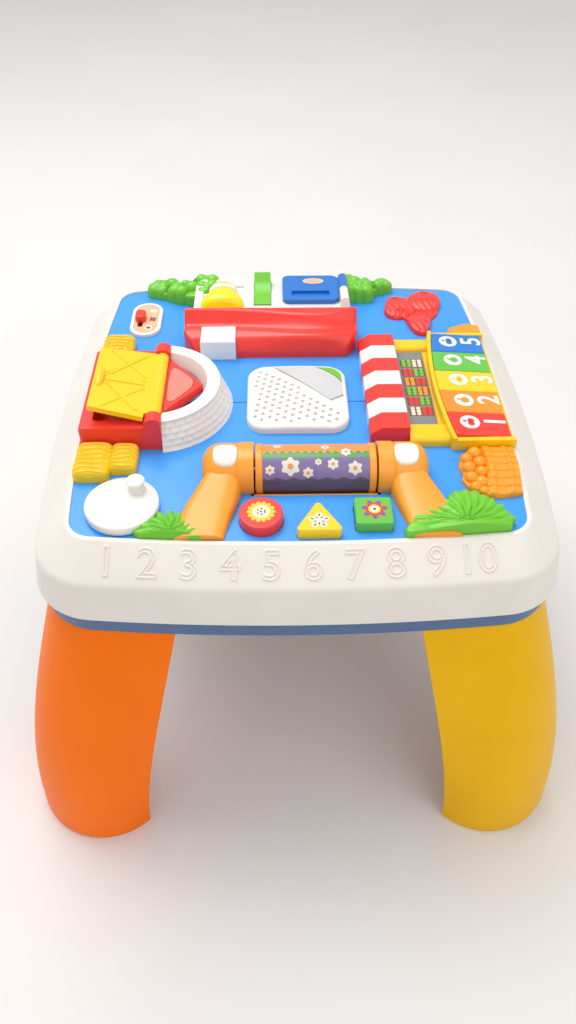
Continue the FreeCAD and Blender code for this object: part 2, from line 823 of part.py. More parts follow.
def make_gate():
    """The whole gate: two flared ends joined by the drum's trough, with bores, cap seats and bushes cut out."""
    left = make_gate_half()
    gate = left.fuse([mirror_x(left, gate_centre_x), drum_well(drum_well_wall)]).cut(drum_well(0.0))
    reach = axle_half() + 0.5
    gate = gate.cut(rod_x(drum_y, drum_axis_z(), drum_axle_radius + shaft_gap,
                          gate_centre_x - reach, gate_centre_x + reach))
    seat_floor = drum_axis_z() + gate_radius - 2.0
    for side in (-1.0, 1.0):
        seat = gate_cap_box(side).common(block(-200.0, 200.0, -200.0, 0.0, seat_floor, seat_floor + 10.0))
        gate = gate.cut(seat)
    whole = outline_prism(-slide_gap, tray_z, panel_top + 40.0)
    gate = gate.common(whole)
    return biggest(gate.cut(made["bush_left"]).cut(made["bush_right"]))


def make_gate_caps():
    """Two white caps let into the top of the gate's ends."""
    seat_floor = drum_axis_z() + gate_radius - 2.0
    caps = []
    for side in (-1.0, 1.0):
        skin = rod_x(drum_y, drum_axis_z(), gate_radius + 0.8, gate_centre_x - 100.0, gate_centre_x + 100.0)
        cap = gate_cap_box(side).common(skin)
        caps.append(cap.common(block(-200.0, 200.0, -200.0, 0.0, seat_floor, seat_floor + 10.0)))
    return Part.makeCompound(caps)


def make_tree(side):
    """A tree of round lobes that leans against the house's side wall."""
    wall = house_left if side < 0 else house_right
    lobes = []
    for out, y, radius in ((4.0, 139.0, 11.5), (15.0, 144.0, 9.5), (26.0, 149.5, 8.0), (36.0, 152.5, 5.5),
                           (12.0, 151.0, 8.5)):
        lobes.append((wall + side * out, y, radius))
    x0, x1 = (wall - 60.0, wall - seat_gap) if side < 0 else (wall + seat_gap, wall + 60.0)
    clip = block(x0, x1, house_door_front, 200.0, panel_top, panel_top + house_height)
    clip = clip.common(outline_prism(-slide_gap, panel_top, panel_top + house_height))
    return lobed_solid(lobes, house_height - 2.0, clip, 2.5)


def house_wall_plan():
    """The house wall's outline, with its back corners cut."""
    front = roof_back + seat_gap
    cut = 6.0
    return [(house_left, front), (house_right, front), (house_right, house_back - cut),
            (house_right - cut, house_back), (house_left + cut, house_back), (house_left, house_back - cut)]


def house_hinge_z():
    """Height of the house door's hinge axis."""
    return panel_top + house_height + turn_gap + house_door_thickness


def house_door_right():
    """The door's free edge beside the hinge ears."""
    return house_hinge_x - house_hinge_radius - slide_gap * 2.0


def make_house_wall():
    """White house front lying on the panel, with the pocket behind its door and the hinge ears."""
    top = panel_top + house_height
    wall = prism(house_wall_plan(), panel_top, top)
    pocket = rounded_block(house_door_left + house_pocket_margin, house_door_right() - house_pocket_margin,
                           house_door_front + house_pocket_margin, house_door_back - house_pocket_margin,
                           top - house_pocket_depth, top + 1.0, 3.0)
    wall = wall.cut(pocket)
    for y0, y1 in ((house_ear_front, house_barrel_front - turn_gap), (house_barrel_back + turn_gap, house_ear_back)):
        ear = rod_y(house_hinge_x, house_hinge_z(), house_hinge_radius, y0, y1)
        foot = block(house_hinge_x - house_hinge_radius, house_hinge_x + house_hinge_radius, y0, y1,
                     top - 1.0, house_hinge_z())
        wall = wall.fuse([ear, foot])
    wall = wall.cut(rod_y(house_hinge_x, house_hinge_z(), screw_radius, house_ear_front + 8.0, house_ear_back - 2.0))
    wall = wall.cut(block(switch_x - switch_width / 2.0 - slide_gap, switch_x + switch_width / 2.0 + slide_gap,
                          switch_front - slide_gap, switch_back + slide_gap, panel_top + 2.0, top + 1.0))
    return wall.cut(lamp_solid(0.0, True)).cut(make_switch_pin()).removeSplitter()


def make_house_door():
    """Blue flap door with a mail slot, round front corners and a hinge barrel."""
    low = house_hinge_z() - house_door_thickness
    high = house_hinge_z()
    right = house_door_right()
    plate = rounded_block(house_door_left, right, house_door_front, house_door_back, low, high, 6.0)
    web = block(right - 8.0, house_hinge_x, house_barrel_front, house_barrel_back, low, high)
    barrel = rod_y(house_hinge_x, high, house_hinge_radius, house_barrel_front, house_barrel_back)
    door = join([plate, web, barrel])
    middle = (house_door_left + right) / 2.0
    slot_y = house_door_front + 11.0
    slot = rounded_block(middle - mail_slot_length / 2.0, middle + mail_slot_length / 2.0,
                         slot_y - mail_slot_width / 2.0, slot_y + mail_slot_width / 2.0,
                         high - mail_slot_depth, high + 1.0, 1.5)
    bore = rod_y(house_hinge_x, high, screw_radius + shaft_gap, house_barrel_front - 1.0, house_barrel_back + 1.0)
    return door.cut(slot).cut(bore)


def make_house_pin():
    """Steel pin of the house door."""
    return rod_y(house_hinge_x, house_hinge_z(), screw_radius, house_ear_front + 8.0, house_ear_back - 2.0)


def switch_pivot():
    """Where the rocker switch turns, as y and z."""
    return (switch_front + switch_back) / 2.0, panel_top + house_height - 3.0


def make_light_switch():
    """Green rocker: one end up and the other down, on a shaft across the wall's pocket."""
    y, z = switch_pivot()
    x0 = switch_x - switch_width / 2.0
    half = (switch_back - switch_front) / 2.0 - slide_gap
    tilt = math.radians(switch_throw / 2.0)
    reach = half * math.cos(tilt) - 0.6
    points = [(-reach, 1.5), (-reach, 6.0), (0.0, 4.0), (reach, 6.0), (reach, 1.5), (0.0, -4.0)]
    corners = [Vector(x0, y + py, z + pz) for py, pz in points]
    body = Part.Face(Part.makePolygon(corners + corners[:1])).extrude(Vector(switch_width, 0, 0))
    body = body.cut(rod_x(y, z, screw_radius + shaft_gap, x0 - 1.0, x0 + switch_width + 1.0))
    body.rotate(Vector(switch_x, y, z), Vector(1, 0, 0), switch_throw / 2.0)
    return body


def make_switch_pin():
    """The pin that the rocker turns on."""
    y, z = switch_pivot()
    half = switch_width / 2.0 + slide_gap + 3.0
    return rod_x(y, z, screw_radius, switch_x - half, switch_x + half)


def lamp_section(share, grow):
    """One arch-shaped section of the lamp across Y."""
    widths = ((0.0, 0.92, 0.55), (0.12, 1.0, 0.85), (0.4, 0.9, 1.0), (0.68, 0.7, 0.95), (0.86, 0.68, 0.8),
              (1.0, 0.5, 0.5))
    low = [row for row in widths if row[0] <= share][-1]
    high = [row for row in widths if row[0] >= share][0]
    blend = 0.0 if high[0] == low[0] else (share - low[0]) / (high[0] - low[0])
    width = lamp_front_width * (low[1] + (high[1] - low[1]) * blend) / 2.0 + grow
    height = lamp_height * (low[2] + (high[2] - low[2]) * blend) + grow
    y = lamp_front + lamp_length * share
    base = panel_top + house_height - 2.0
    ends = (Vector(lamp_x - width, y, base), Vector(lamp_x + width, y, base))
    arc = Part.Arc(ends[0], Vector(lamp_x, y, base + 2.0 + height), ends[1]).toShape()
    return Part.Wire([arc, Part.makeLine(ends[1], ends[0])])


def lamp_solid(grow, seat):
    """The porch lamp's shape, or the seat that it stands in."""
    if seat:
        base = panel_top + house_height
        half = lamp_front_width / 2.0 + seat_gap
        return block(lamp_x - half, lamp_x + half, lamp_front - seat_gap, lamp_front + lamp_length + seat_gap,
                     base - 2.0, base + 1.0)
    sections = [lamp_section(share, grow) for share in (0.0, 0.12, 0.4, 0.68, 0.86, 1.0)]
    return Part.makeLoft(sections, True, False)


def make_lamp():
    """The yellow porch lamp: an arched lens on the house wall."""
    base = panel_top + house_height - 2.0
    half = lamp_front_width / 2.0
    foot = block(lamp_x - half, lamp_x + half, lamp_front, lamp_front + lamp_length, base, base + 2.0)
    lens = lamp_solid(0.0, False)
    return lens.fuse(foot).cut(made["lamp_ring"]).removeSplitter()


def make_lamp_ring():
    """The pale band round the lamp, between its lens and its crown."""
    whole = lamp_solid(0.0, False)
    y0 = lamp_front + lamp_length * 0.66
    band = block(lamp_x - 40.0, lamp_x + 40.0, y0, y0 + lamp_length * 0.14,
                 panel_top + house_height, panel_top + house_height + 30.0)
    return whole.common(band)


def roof_section(x, share):
    """One cross-section of the roof: front roll, hollow, upper roll and the back."""
    wave = math.sin(math.pi * 2.0 * share - 0.6)
    front = roof_front + 1.0
    span = roof_back - roof_front
    crest = front + span * (0.30 - 0.05 * wave)
    hollow = front + span * (0.52 - 0.08 * wave)
    lip = front + span * (0.76 - 0.10 * wave)
    top = panel_top + roof_height
    points = [Vector(x, front, panel_top + 4.0), Vector(x, front + span * 0.04, panel_top + roof_height * 0.42),
              Vector(x, crest, panel_top + roof_height * 0.76), Vector(x, hollow, panel_top + roof_height * 0.83),
              Vector(x, lip, top), Vector(x, roof_back, top - 1.0)]
    curve = Part.BSplineCurve()
    curve.interpolate(points)
    foot = Vector(x, front, panel_top)
    back = Vector(x, roof_back, panel_top)
    return Part.Wire([Part.makeLine(foot, points[0]), curve.toShape(), Part.makeLine(points[-1], back),
                      Part.makeLine(back, foot)])


def make_roof():
    """Red roof of the lying house: two rolls with a wavy hollow between them."""
    stations = 7
    sections = []
    for index in range(stations):
        share = index / (stations - 1.0)
        sections.append(roof_section(roof_left + (roof_right - roof_left) * share, share))
    body = Part.makeLoft(sections, True, False)
    plan = rounded_block(roof_left, roof_right, roof_front, roof_back + roof_corner, panel_top,
                         panel_top + roof_height + 10.0, roof_corner)
    body = body.common(plan).common(block(roof_left, roof_right, roof_front, roof_back, panel_top,
                                          panel_top + roof_height + 10.0))
    return body.cut(block(chimney_left, chimney_right, chimney_front, chimney_back, panel_top,
                          panel_top + roof_height + 10.0))


def make_chimney():
    """White chimney block let into the front of the roof."""
    chimney = block(chimney_left, chimney_right, chimney_front, chimney_back, panel_top, panel_top + chimney_height)
    soft = [edge for edge in edges_at(chimney, panel_top + chimney_height)
            if abs(edge.BoundBox.YMax - chimney_back) > 1e-3 or edge.BoundBox.YLength > 1.0]
    return chimney.makeFillet(1.2, soft)


def barn_hinge_z():
    """Height of the barn door's hinge axis."""
    return panel_top + barn_height + 0.5


def make_barn_base():
    """Red barn front: an open box with two hinge ears and a groove under the door's barrel."""
    top = panel_top + barn_height
    body = block(barn_left, barn_wall_x, barn_front, barn_back, panel_top, top)
    soft = [edge for edge in body.Edges if edge.BoundBox.XMax < barn_left + 1.0 and edge.BoundBox.ZMax > panel_top + 1.0]
    body = body.makeFillet(2.0, soft)
    pocket = rounded_block(barn_pocket_left, barn_pocket_right, barn_pocket_front, barn_pocket_back,
                           panel_top + barn_floor, top + 1.0, 3.0)
    body = body.cut(pocket)
    z = barn_hinge_z()
    clip = block(barn_left, barn_wall_x - seat_gap, barn_front, barn_back, panel_top, top + 20.0)
    for y0, y1 in barn_ears():
        body = body.fuse(rod_y(barn_hinge_x, z, barn_ear_radius, y0, y1).common(clip))
    barrel_front, barrel_back = barn_barrel_ends(0.0)
    body = body.cut(rod_y(barn_hinge_x, z, barn_barrel_radius + turn_gap, barrel_front, barrel_back))
    ears = barn_ears()
    body = body.cut(rod_y(barn_hinge_x, z, screw_radius, ears[0][0] + 3.0, ears[1][1] - 3.0))
    return body.removeSplitter()


def barn_ears():
    """Where the two hinge ears start and end along Y."""
    return ((barn_front, barn_front + barn_ear_length), (barn_back - barn_ear_length, barn_back))


def barn_barrel_ends(gap):
    """Where the door's barrel starts and ends between the ears."""
    ears = barn_ears()
    return ears[0][1] + gap, ears[1][0] - gap


def closed_barn_door():
    """The barn door as it lies when shut: a tapered plate with a handle, boards and a barrel."""
    low = panel_top + barn_height + turn_gap
    high = low + barn_door_thickness
    ear_edge = barn_hinge_x - barn_ear_radius - slide_gap * 2.0
    front, back = barn_door_front, barn_door_back
    barrel_front, barrel_back = barn_barrel_ends(turn_gap)
    outline = [(barn_door_left, front + barn_door_taper), (ear_edge, front), (ear_edge, barrel_front),
               (barn_hinge_x, barrel_front), (barn_hinge_x, barrel_back), (ear_edge, barrel_back),
               (ear_edge, back), (barn_door_left, back - barn_door_taper)]
    if barrel_back > back:
        outline[4] = (barn_hinge_x, back)
        outline[5] = (ear_edge, back)
        del outline[6]
    plate = prism(outline, low, high)
    z = barn_hinge_z()
    barrel = rod_y(barn_hinge_x, z, barn_barrel_radius, barrel_front, barrel_back)
    middle = (front + back) / 2.0
    handle = Part.makeSphere(12.0, Vector(0, 0, 0))
    handle = handle.common(block(-12.0, 12.0, -12.0, 12.0, -1.0, 12.0))
    scale = FreeCAD.Matrix()
    scale.scale(Vector(0.32, 1.0, 0.32))
    handle = handle.transformGeometry(scale)
    handle.translate(Vector(barn_door_left + 4.2, middle, high - 0.2))
    boards = barn_boards(ear_edge, front, back, high)
    door = plate.fuse([barrel, handle] + boards).removeSplitter()
    return door.cut(rod_y(barn_hinge_x, z, screw_radius + shaft_gap, barrel_front - 1.0, barrel_back + 1.0))


def barn_boards(right, front, back, high):
    """Raised boards of the door: a board across the middle and one diagonal each side."""
    board = 3.0
    rise = 0.6
    left = barn_door_left + 9.0
    right = right - 4.0
    middle = (front + back) / 2.0
    boards = [block(left, right, middle - board, middle + board, high - 0.5, high + rise)]
    for side in (-1.0, 1.0):
        near = middle + side * (board + 2.0)
        far = middle + side * ((back - front) / 2.0 - barn_door_taper - 3.0)
        boards.append(prism([(left, near), (left + board, near), (right, far), (right - board, far)],
                            high - 0.5, high + rise))
    return boards


def make_barn_door():
    """The barn door, a little open, as it is kept."""
    door = closed_barn_door()
    door.rotate(Vector(barn_hinge_x, 0, barn_hinge_z()), Vector(0, 1, 0), barn_door_rest)
    return door


def make_barn_pin():
    """Steel pin of the barn door."""
    ears = barn_ears()
    return rod_y(barn_hinge_x, barn_hinge_z(), screw_radius, ears[0][0] + 3.0, ears[1][1] - 3.0)


def make_barn_roof():
    """White arched barn roof: a sloping ring with a flat band and a shallow hollow for the gable."""
    foot = Vector(barn_roof_x, barn_roof_y, panel_top)
    cone = Part.makeCone(barn_roof_foot_radius, barn_roof_top_radius, barn_roof_height, foot)
    floor = Vector(barn_roof_x, barn_roof_y, panel_top + barn_gable_floor)
    rise = barn_roof_height - barn_gable_floor
    hollow = Part.makeCone(barn_gable_radius - 4.0, barn_gable_radius, rise, floor)
    reach = barn_roof_foot_radius + 5.0
    clip = block(barn_wall_x, barn_wall_x + reach, barn_roof_y - reach, barn_roof_y + reach,
                 panel_top, panel_top + barn_roof_height + 1.0)
    roof = cone.cut(hollow).common(clip)
    band = [edge for edge in edges_at(roof, panel_top + barn_roof_height) if edge.BoundBox.XLength > 20.0]
    return roof.makeFillet(1.2, band)


def gable_plan(inset):
    """The gable's three corners: two on the wall and one under the arch."""
    chord = math.sqrt((barn_gable_radius - 4.5) ** 2 - (barn_wall_x - barn_roof_x) ** 2)
    corners = [(barn_wall_x + seat_gap, barn_roof_y - chord), (barn_gable_apex_x, barn_roof_y),
               (barn_wall_x + seat_gap, barn_roof_y + chord)]
    return inset_corners(corners, inset) if inset else corners


def make_gable():
    """Red gable with a shallow seat for its window."""
    floor = panel_top + barn_gable_floor
    top = panel_top + barn_gable_height
    body = prism(gable_plan(0.0), floor, top)
    seat = prism(gable_plan(barn_window_inset - seat_gap), top - 1.0, top + 1.0)
    return body.cut(seat)


def make_hayloft_window():
    """Salmon window plate in the gable."""
    top = panel_top + barn_gable_height
    return prism(gable_plan(barn_window_inset), top - 1.0, top + 0.4)


def bundle(x0, x1, y0, y1, height, ribs):
    """A bundle of hay: ridges side by side along X."""
    body = block(x0, x1, y0, y1, panel_top, panel_top + height * 0.7)
    step = (y1 - y0) / ribs
    parts = [body]
    for index in range(ribs):
        y = y0 + step * (index + 0.5)
        rib = rod_x(y, panel_top + height * 0.7, step * 0.55, x0, x1)
        parts.append(rib.common(block(x0, x1, y0, y1, panel_top, panel_top + height + 5.0)))
    return join(parts)


def make_hay_front():
    """Two tied hay bundles in front of the barn."""
    y1 = barn_front - seat_gap
    waist = barn_left + 18.5
    large = bundle(barn_left - 0.5, waist, y1 - 25.0, y1, 10.0, 5)
    small = bundle(waist, barn_left + 42.5, y1 - 19.5, y1, 9.0, 4)
    body = large.fuse(small).removeSplitter()
    return body.common(outline_prism(-slide_gap, panel_top, panel_top + 30.0))


def make_hay_back():
    """One hay bundle behind the barn."""
    y0 = barn_back + seat_gap
    body = bundle(barn_left - 0.5, barn_left + 26.0, y0, y0 + 40.0, 9.0, 7)
    return body.common(outline_prism(-slide_gap, panel_top, panel_top + 30.0))


def make_flower():
    """Red three-lobed relief at the back right corner."""
    posts = [post(x, y, radius, panel_top, panel_top + 4.0)
             for x, y, radius in ((95.0, 121.0, 13.5), (122.0, 130.5, 14.0), (110.5, 94.0, 13.0), (110.0, 115.0, 10.0))]
    body = join(posts)
    body = round_top(body, panel_top + 4.0, 1.5)
    for x, y in ((91.5, 131.0), (119.5, 140.0)):
        body = body.cut(post(x, y, 3.0, panel_top - 1.0, panel_top + 5.0))
    return body.removeSplitter()


def make_pumpkin():
    """Orange half pumpkin beside the back key: ribs that grow together, flat against the stall."""
    y0 = half_row() + seat_gap * 2.0 + market_wall
    ribs = []
    for x, radius in ((142.0, 9.5), (150.0, 13.0), (156.5, 11.0)):
        foot = Vector(x, y0 + 8.0, panel_top)
        ribs.append(Part.makeCylinder(radius, pumpkin_height - 2.0, foot))
        ribs.append(Part.makeCone(radius, radius - 3.0, 2.0, foot + Vector(0, 0, pumpkin_height - 2.0)))
    clip = block(130.0, 175.0, y0, y0 + 40.0, panel_top, panel_top + 10.0)
    clip = clip.common(outline_prism(-slide_gap, panel_top, panel_top + 10.0))
    return join(ribs).common(clip).removeSplitter()


def make_basket():
    """Orange fruit basket at the front of the stall: round fruit on the left, staves on the right."""
    y1 = -half_row() - seat_gap * 2.0 - market_wall
    y0 = y1 - 41.0
    staves = block(132.0, 157.5, y0, y1, panel_top, panel_top + 7.0)
    upper = [edge for edge in edges_at(staves, panel_top + 7.0) if edge.BoundBox.XLength > 1.0]
    staves = staves.makeFillet(5.0, upper)
    parts = [staves]
    for x in (134.0, 148.0):
        hoop = block(x, x + 3.0, y0 - 0.5, y1, panel_top, panel_top + 7.8)
        upper = [edge for edge in edges_at(hoop, panel_top + 7.8) if edge.BoundBox.XLength > 1.0]
        parts.append(hoop.makeFillet(5.0, upper))
    bed = post(132.0, (y0 + y1) / 2.0, 17.0, panel_top, panel_top + 3.0)
    parts.append(bed.common(block(100.0, 133.0, y0, y1, panel_top, panel_top + 4.0)))
    for x, y in ((122.5, -81.0), (129.0, -89.5), (121.0, -92.0), (126.0, -101.0)):
        ball = Part.makeSphere(5.2, Vector(x, y, panel_top + 3.5))
        parts.append(ball.common(block(100.0, 160.0, y0, y1, panel_top, panel_top + 12.0)))
    body = parts[0].fuse(parts[1:]).removeSplitter()
    return body.common(outline_prism(-slide_gap, panel_top, panel_top + 30.0))


def make_spinner():
    """White crank disc: a shallow cup on a shaft, with a round finger knob near its edge."""
    top = panel_top + spinner_height
    under = panel_top + turn_gap * 2.0
    disc = post(spinner_x, spinner_y, spinner_radius, under, top)
    disc = disc.makeFillet(2.0, edges_at(disc, top))
    hollow = post(spinner_x, spinner_y, spinner_radius - spinner_wall, under - 1.0, top - spinner_wall)
    disc = disc.cut(hollow)
    x = spinner_x + spinner_knob_dx
    y = spinner_y + spinner_knob_dy
    knob = post(x, y, spinner_knob_radius, top - 1.0, top + spinner_knob_height)
    knob = knob.makeFillet(2.0, edges_at(knob, top + spinner_knob_height))
    shaft = post(spinner_x, spinner_y, spinner_shaft_radius, panel_under - 6.0, top - 1.0)
    clip_top = panel_under - turn_gap
    clip = post(spinner_x, spinner_y, spinner_shaft_radius + 2.0, clip_top - 2.0, clip_top)
    return join([disc, knob, shaft, clip])


def capsule(x, y, width, length, z0, z1):
    """An upright solid with a long outline and fully round ends."""
    return rounded_block(x - width / 2.0, x + width / 2.0, y - length / 2.0, y + length / 2.0,
                         z0, z1, width / 2.0 - 1e-3)


def slider_slot(z0, z1):
    """The slot that the slider's stem runs in."""
    length = 2.0 * (slider_travel + slider_stem_half + slide_gap) + slider_slot_width / 2.0
    return capsule(slider_slot_x, slider_y, slider_slot_width, length, z0, z1)


def make_slider_bezel():
    """White bezel of the volume slider, with a sunk field."""
    top = panel_top + slider_height
    body = capsule(slider_x, slider_y, slider_width, slider_length, panel_top, top)
    body = round_top(body, top, 1.0)
    field = capsule(slider_x, slider_y, slider_width - 2.0 * slider_border, slider_length - 2.0 * slider_border,
                    top - 1.0, top + 1.0)
    return body.cut(field).cut(slider_slot(panel_top - 1.0, top + 1.0))


def make_slider_plate():
    """Peach plate in the bezel's sunk field."""
    top = panel_top + slider_height
    plate = capsule(slider_x, slider_y, slider_width - 2.0 * slider_border - 2.0 * seat_gap,
                    slider_length - 2.0 * slider_border - 2.0 * seat_gap, top - 1.0, top - 0.4)
    return plate.cut(slider_slot(panel_top - 1.0, top + 1.0))


def make_slider_knob():
    """Red thumb piece with its stem and the foot that holds it under the panel."""
    low = panel_top + slider_height + 0.1
    top = low + slider_knob_height
    thumb = rounded_block(slider_slot_x - slider_knob_width / 2.0, slider_slot_x + slider_knob_width / 2.0,
                          slider_y - slider_knob_length / 2.0, slider_y + slider_knob_length / 2.0, low, top, 4.0)
    thumb = round_top(thumb, top, 1.8)
    stem = block(slider_slot_x - 1.9, slider_slot_x + 1.9, slider_y - slider_stem_half, slider_y + slider_stem_half,
                 panel_under - 3.0, low + 1.0)
    foot_top = panel_under - seat_gap
    foot = block(slider_slot_x - 4.0, slider_slot_x + 4.0, slider_y - 5.0, slider_y + 5.0, foot_top - 2.0, foot_top)
    return join([thumb, stem, foot])


def speaker_holes():
    """Slanted rows of sound holes."""
    pitch = speaker_hole_pitch
    holes = []
    for row in range(speaker_hole_rows):
        for column in range(4):
            x = speaker_x - 21.0 + pitch * (row * 0.62 + column * 0.95)
            y = speaker_y + 17.0 + pitch * (column * 0.8 - row * 0.95)
            holes.append(post(x, y, speaker_hole_radius, panel_top - 1.0, panel_top + speaker_height + 2.0))
    return holes


def inlay_regions():
    """The grey lens and the green corner as upright solids: an arc and a straight slanted side part them."""
    high = panel_top + speaker_height + 2.0
    arc_x = speaker_x - 4.3
    arc_y = speaker_y - 3.5
    disc = post(arc_x, arc_y, 44.5, panel_top, high)
    corner = rounded_block(speaker_x - speaker_width / 2.0 + 3.0, speaker_x + speaker_width / 2.0 - 3.0,
                           speaker_y - speaker_length / 2.0 + 3.0, speaker_y + speaker_length / 2.0 - 3.0,
                           panel_top, high, speaker_corner - 3.0)
    beyond = prism([(speaker_x - 15.5, speaker_y + 34.5), (speaker_x + 24.5, speaker_y - 7.5),
                    (speaker_x + 50.0, speaker_y + 10.0), (speaker_x + 50.0, speaker_y + 60.0),
                    (speaker_x - 15.5, speaker_y + 60.0)], panel_top, high)
    inner = post(arc_x, arc_y, 43.7, panel_top, high)
    lens = corner.common(beyond).common(inner)
    leaf = corner.common(beyond).cut(disc)
    return lens, leaf


def make_speaker():
    """The cover and its two inlays, which follow the cover's crown."""
    body = make_speaker_cover()
    lower = body.copy()
    lower.translate(Vector(0, 0, -lens_depth))
    skin = body.cut(lower)
    lens_region, leaf_region = inlay_regions()
    lens = skin.common(lens_region)
    leaf = skin.common(leaf_region)
    cover = body.cut(lens).cut(leaf).cut(Part.makeCompound(speaker_holes()))
    keep("speaker_cover", cover.removeSplitter())
    keep("speaker_lens", biggest(lens))
    keep("speaker_leaf", biggest(leaf))


def biggest(shape):
    """The largest solid of a shape."""
    return max(shape.Solids, key=lambda solid: solid.Volume)


def make_panel():
    """Sky blue panel with its groove, the drum's trough and the openings for everything that passes through."""
    panel = outline_prism(-seat_gap, panel_under, panel_top)
    panel = panel.cut(drum_well(drum_well_wall + seat_gap))
    groove = block(-panel_half - 5.0, panel_half + 5.0, cross_groove_y - cross_groove_width / 2.0,
                   cross_groove_y + cross_groove_width / 2.0, panel_top - cross_groove_depth, panel_top + 1.0)
    through = [groove]
    for name in button_outlines:
        through.append(button_outlines[name][0](slide_gap, panel_under - 1.0, panel_top + 1.0))
    through.append(post(spinner_x, spinner_y, spinner_shaft_radius + shaft_gap, panel_under - 1.0, panel_top + 1.0))
    through.append(slider_slot(panel_under - 1.0, panel_top + 1.0))
    through.append(post(speaker_x, speaker_y, speaker_driver_radius - 3.0, panel_under - 1.0, panel_top + 1.0))
    for index in range(1, key_count + 1):
        middle = key_centre(index)
        reach = key_plunger_size / 2.0 + key_plunger_room
        through.append(block(key_plunger_x - reach, key_plunger_x + reach, middle - reach, middle + reach,
                             panel_under - 1.0, panel_top + 1.0))
    panel = cut_all(panel, through)
    bosses = [post(x, y, boss_radius, board_top, panel_under + 0.5) for x, y in board_bosses()]
    panel = panel.fuse(bosses)
    return cut_all(panel, [post(x, y, screw_radius, board_top - 1.0, panel_under - 1.0) for x, y in board_bosses()])


def cut_all(body, tools):
    """Cut a body with each tool in turn."""
    for tool in tools:
        body = body.cut(tool)
    return body


def board_bosses():
    """Where the two circuit boards are screwed to the panel."""
    middle_a = (circle_x + triangle_x) / 2.0
    middle_b = (triangle_x + square_x) / 2.0
    key_y = key_pitch / 2.0
    return [(middle_a, button_boss_y), (middle_b, button_boss_y),
            (key_board_left + 6.0, -key_y * 3.0), (key_board_left + 6.0, key_y * 3.0)]


def make_button_board():
    """Circuit board under the three buttons."""
    board = block(button_board_left, button_board_right, button_board_front, button_board_back + 10.0,
                  board_top - board_thickness, board_top)
    return cut_all(board, [post(x, y, screw_radius, board_top - 5.0, board_top + 1.0) for x, y in board_bosses()])


def make_key_board():
    """Circuit board under the keys, with the main chip and the wiring of the speaker."""
    half = half_row()
    board = block(key_board_left, key_board_right, -half, half, board_top - board_thickness, board_top)
    return cut_all(board, [post(x, y, screw_radius, board_top - 5.0, board_top + 1.0) for x, y in board_bosses()])


def make_pads(places):
    """Silicone domes on a board, one under each plunger."""
    return Part.makeCompound([Part.makeCone(pad_radius + 1.0, pad_radius - 0.5, pad_height, Vector(x, y, board_top))
                              for x, y in places])


def make_screws():
    """The screws that hold the boards under the panel and the battery lid under the tray."""
    screws = []
    for x, y in board_bosses():
        low = board_top - board_thickness
        head = post(x, y, screw_head_radius, low - screw_head_height, low)
        shank = post(x, y, screw_radius, low - 0.5, panel_under - 1.0)
        screws.append(head.fuse(shank).removeSplitter())
    return Part.makeCompound(screws)


def make_speaker_driver():
    """The loudspeaker under its cover: frame ring, cone and magnet in one turned piece."""
    radius = speaker_driver_radius
    depth = speaker_driver_depth
    points = [(0.0, 0.0), (0.0, -depth), (radius * 0.5, -depth), (radius * 0.5, -depth + 8.0),
              (radius, -2.5), (radius, 0.0), (radius * 0.85, 0.0), (radius * 0.35, -6.0), (radius * 0.2, -4.0)]
    corners = [Vector(speaker_x + r, speaker_y, panel_under + z) for r, z in points]
    face = Part.Face(Part.makePolygon(corners + corners[:1]))
    return face.revolve(Vector(speaker_x, speaker_y, 0), Vector(0, 0, 1), 360)


def battery_box(grow, z0, z1):
    """The outline of the battery well."""
    half_x = battery_length / 2.0 + battery_spring_length + 1.0 + grow
    half_y = battery_pitch * battery_count / 2.0 + 1.0 + grow
    return block(-half_x, half_x, battery_y - half_y, battery_y + half_y, z0, z1)


def battery_centres():
    """The cells' axes as y and z."""
    first = battery_y - battery_pitch * (battery_count - 1) / 2.0
    z = tray_z + battery_lid_thickness + battery_room + battery_radius
    return [(first + battery_pitch * index, z) for index in range(battery_count)]


def make_battery_well():
    """The well over the battery opening, part of the tray."""
    top = tray_z + battery_well_height
    return battery_box(battery_well_wall, tray_z, top), battery_box(0.0, tray_z - 1.0, top - battery_well_wall)


def make_battery_lid():
    """The lid under the tray, flush with its floor."""
    lid = battery_box(-slide_gap, tray_z, tray_z + battery_lid_thickness)
    return lid


def make_batteries():
    """Three cells side by side, each with its raised end."""
    cells = []
    for y, z in battery_centres():
        cell = rod_x(y, z, battery_radius, -battery_length / 2.0, battery_length / 2.0 - 1.2)
        tip = rod_x(y, z, 2.6, battery_length / 2.0 - 1.5, battery_length / 2.0)
        cells.append(cell.fuse(tip).removeSplitter())
    return Part.makeCompound(cells)


def make_battery_contacts():
    """Contact strips and spring cones at the two ends of the cells."""
    contacts = []
    for y, z in battery_centres():
        left = -battery_length / 2.0
        spring = Part.makeCone(5.0, 3.0, battery_spring_length - 0.5, Vector(left - battery_spring_length, y, z),
                               Vector(1, 0, 0))
        left_strip = block(left - battery_spring_length - 1.0, left - battery_spring_length, y - 6.0, y + 6.0,
                           z - 6.0, z + 6.0)
        contacts.append(spring.fuse(left_strip).removeSplitter())
        right = battery_length / 2.0
        contacts.append(block(right + 0.1, right + battery_spring_length + 1.0, y - 6.0, y + 6.0, z - 6.0, z + 6.0))
    return Part.makeCompound(contacts)


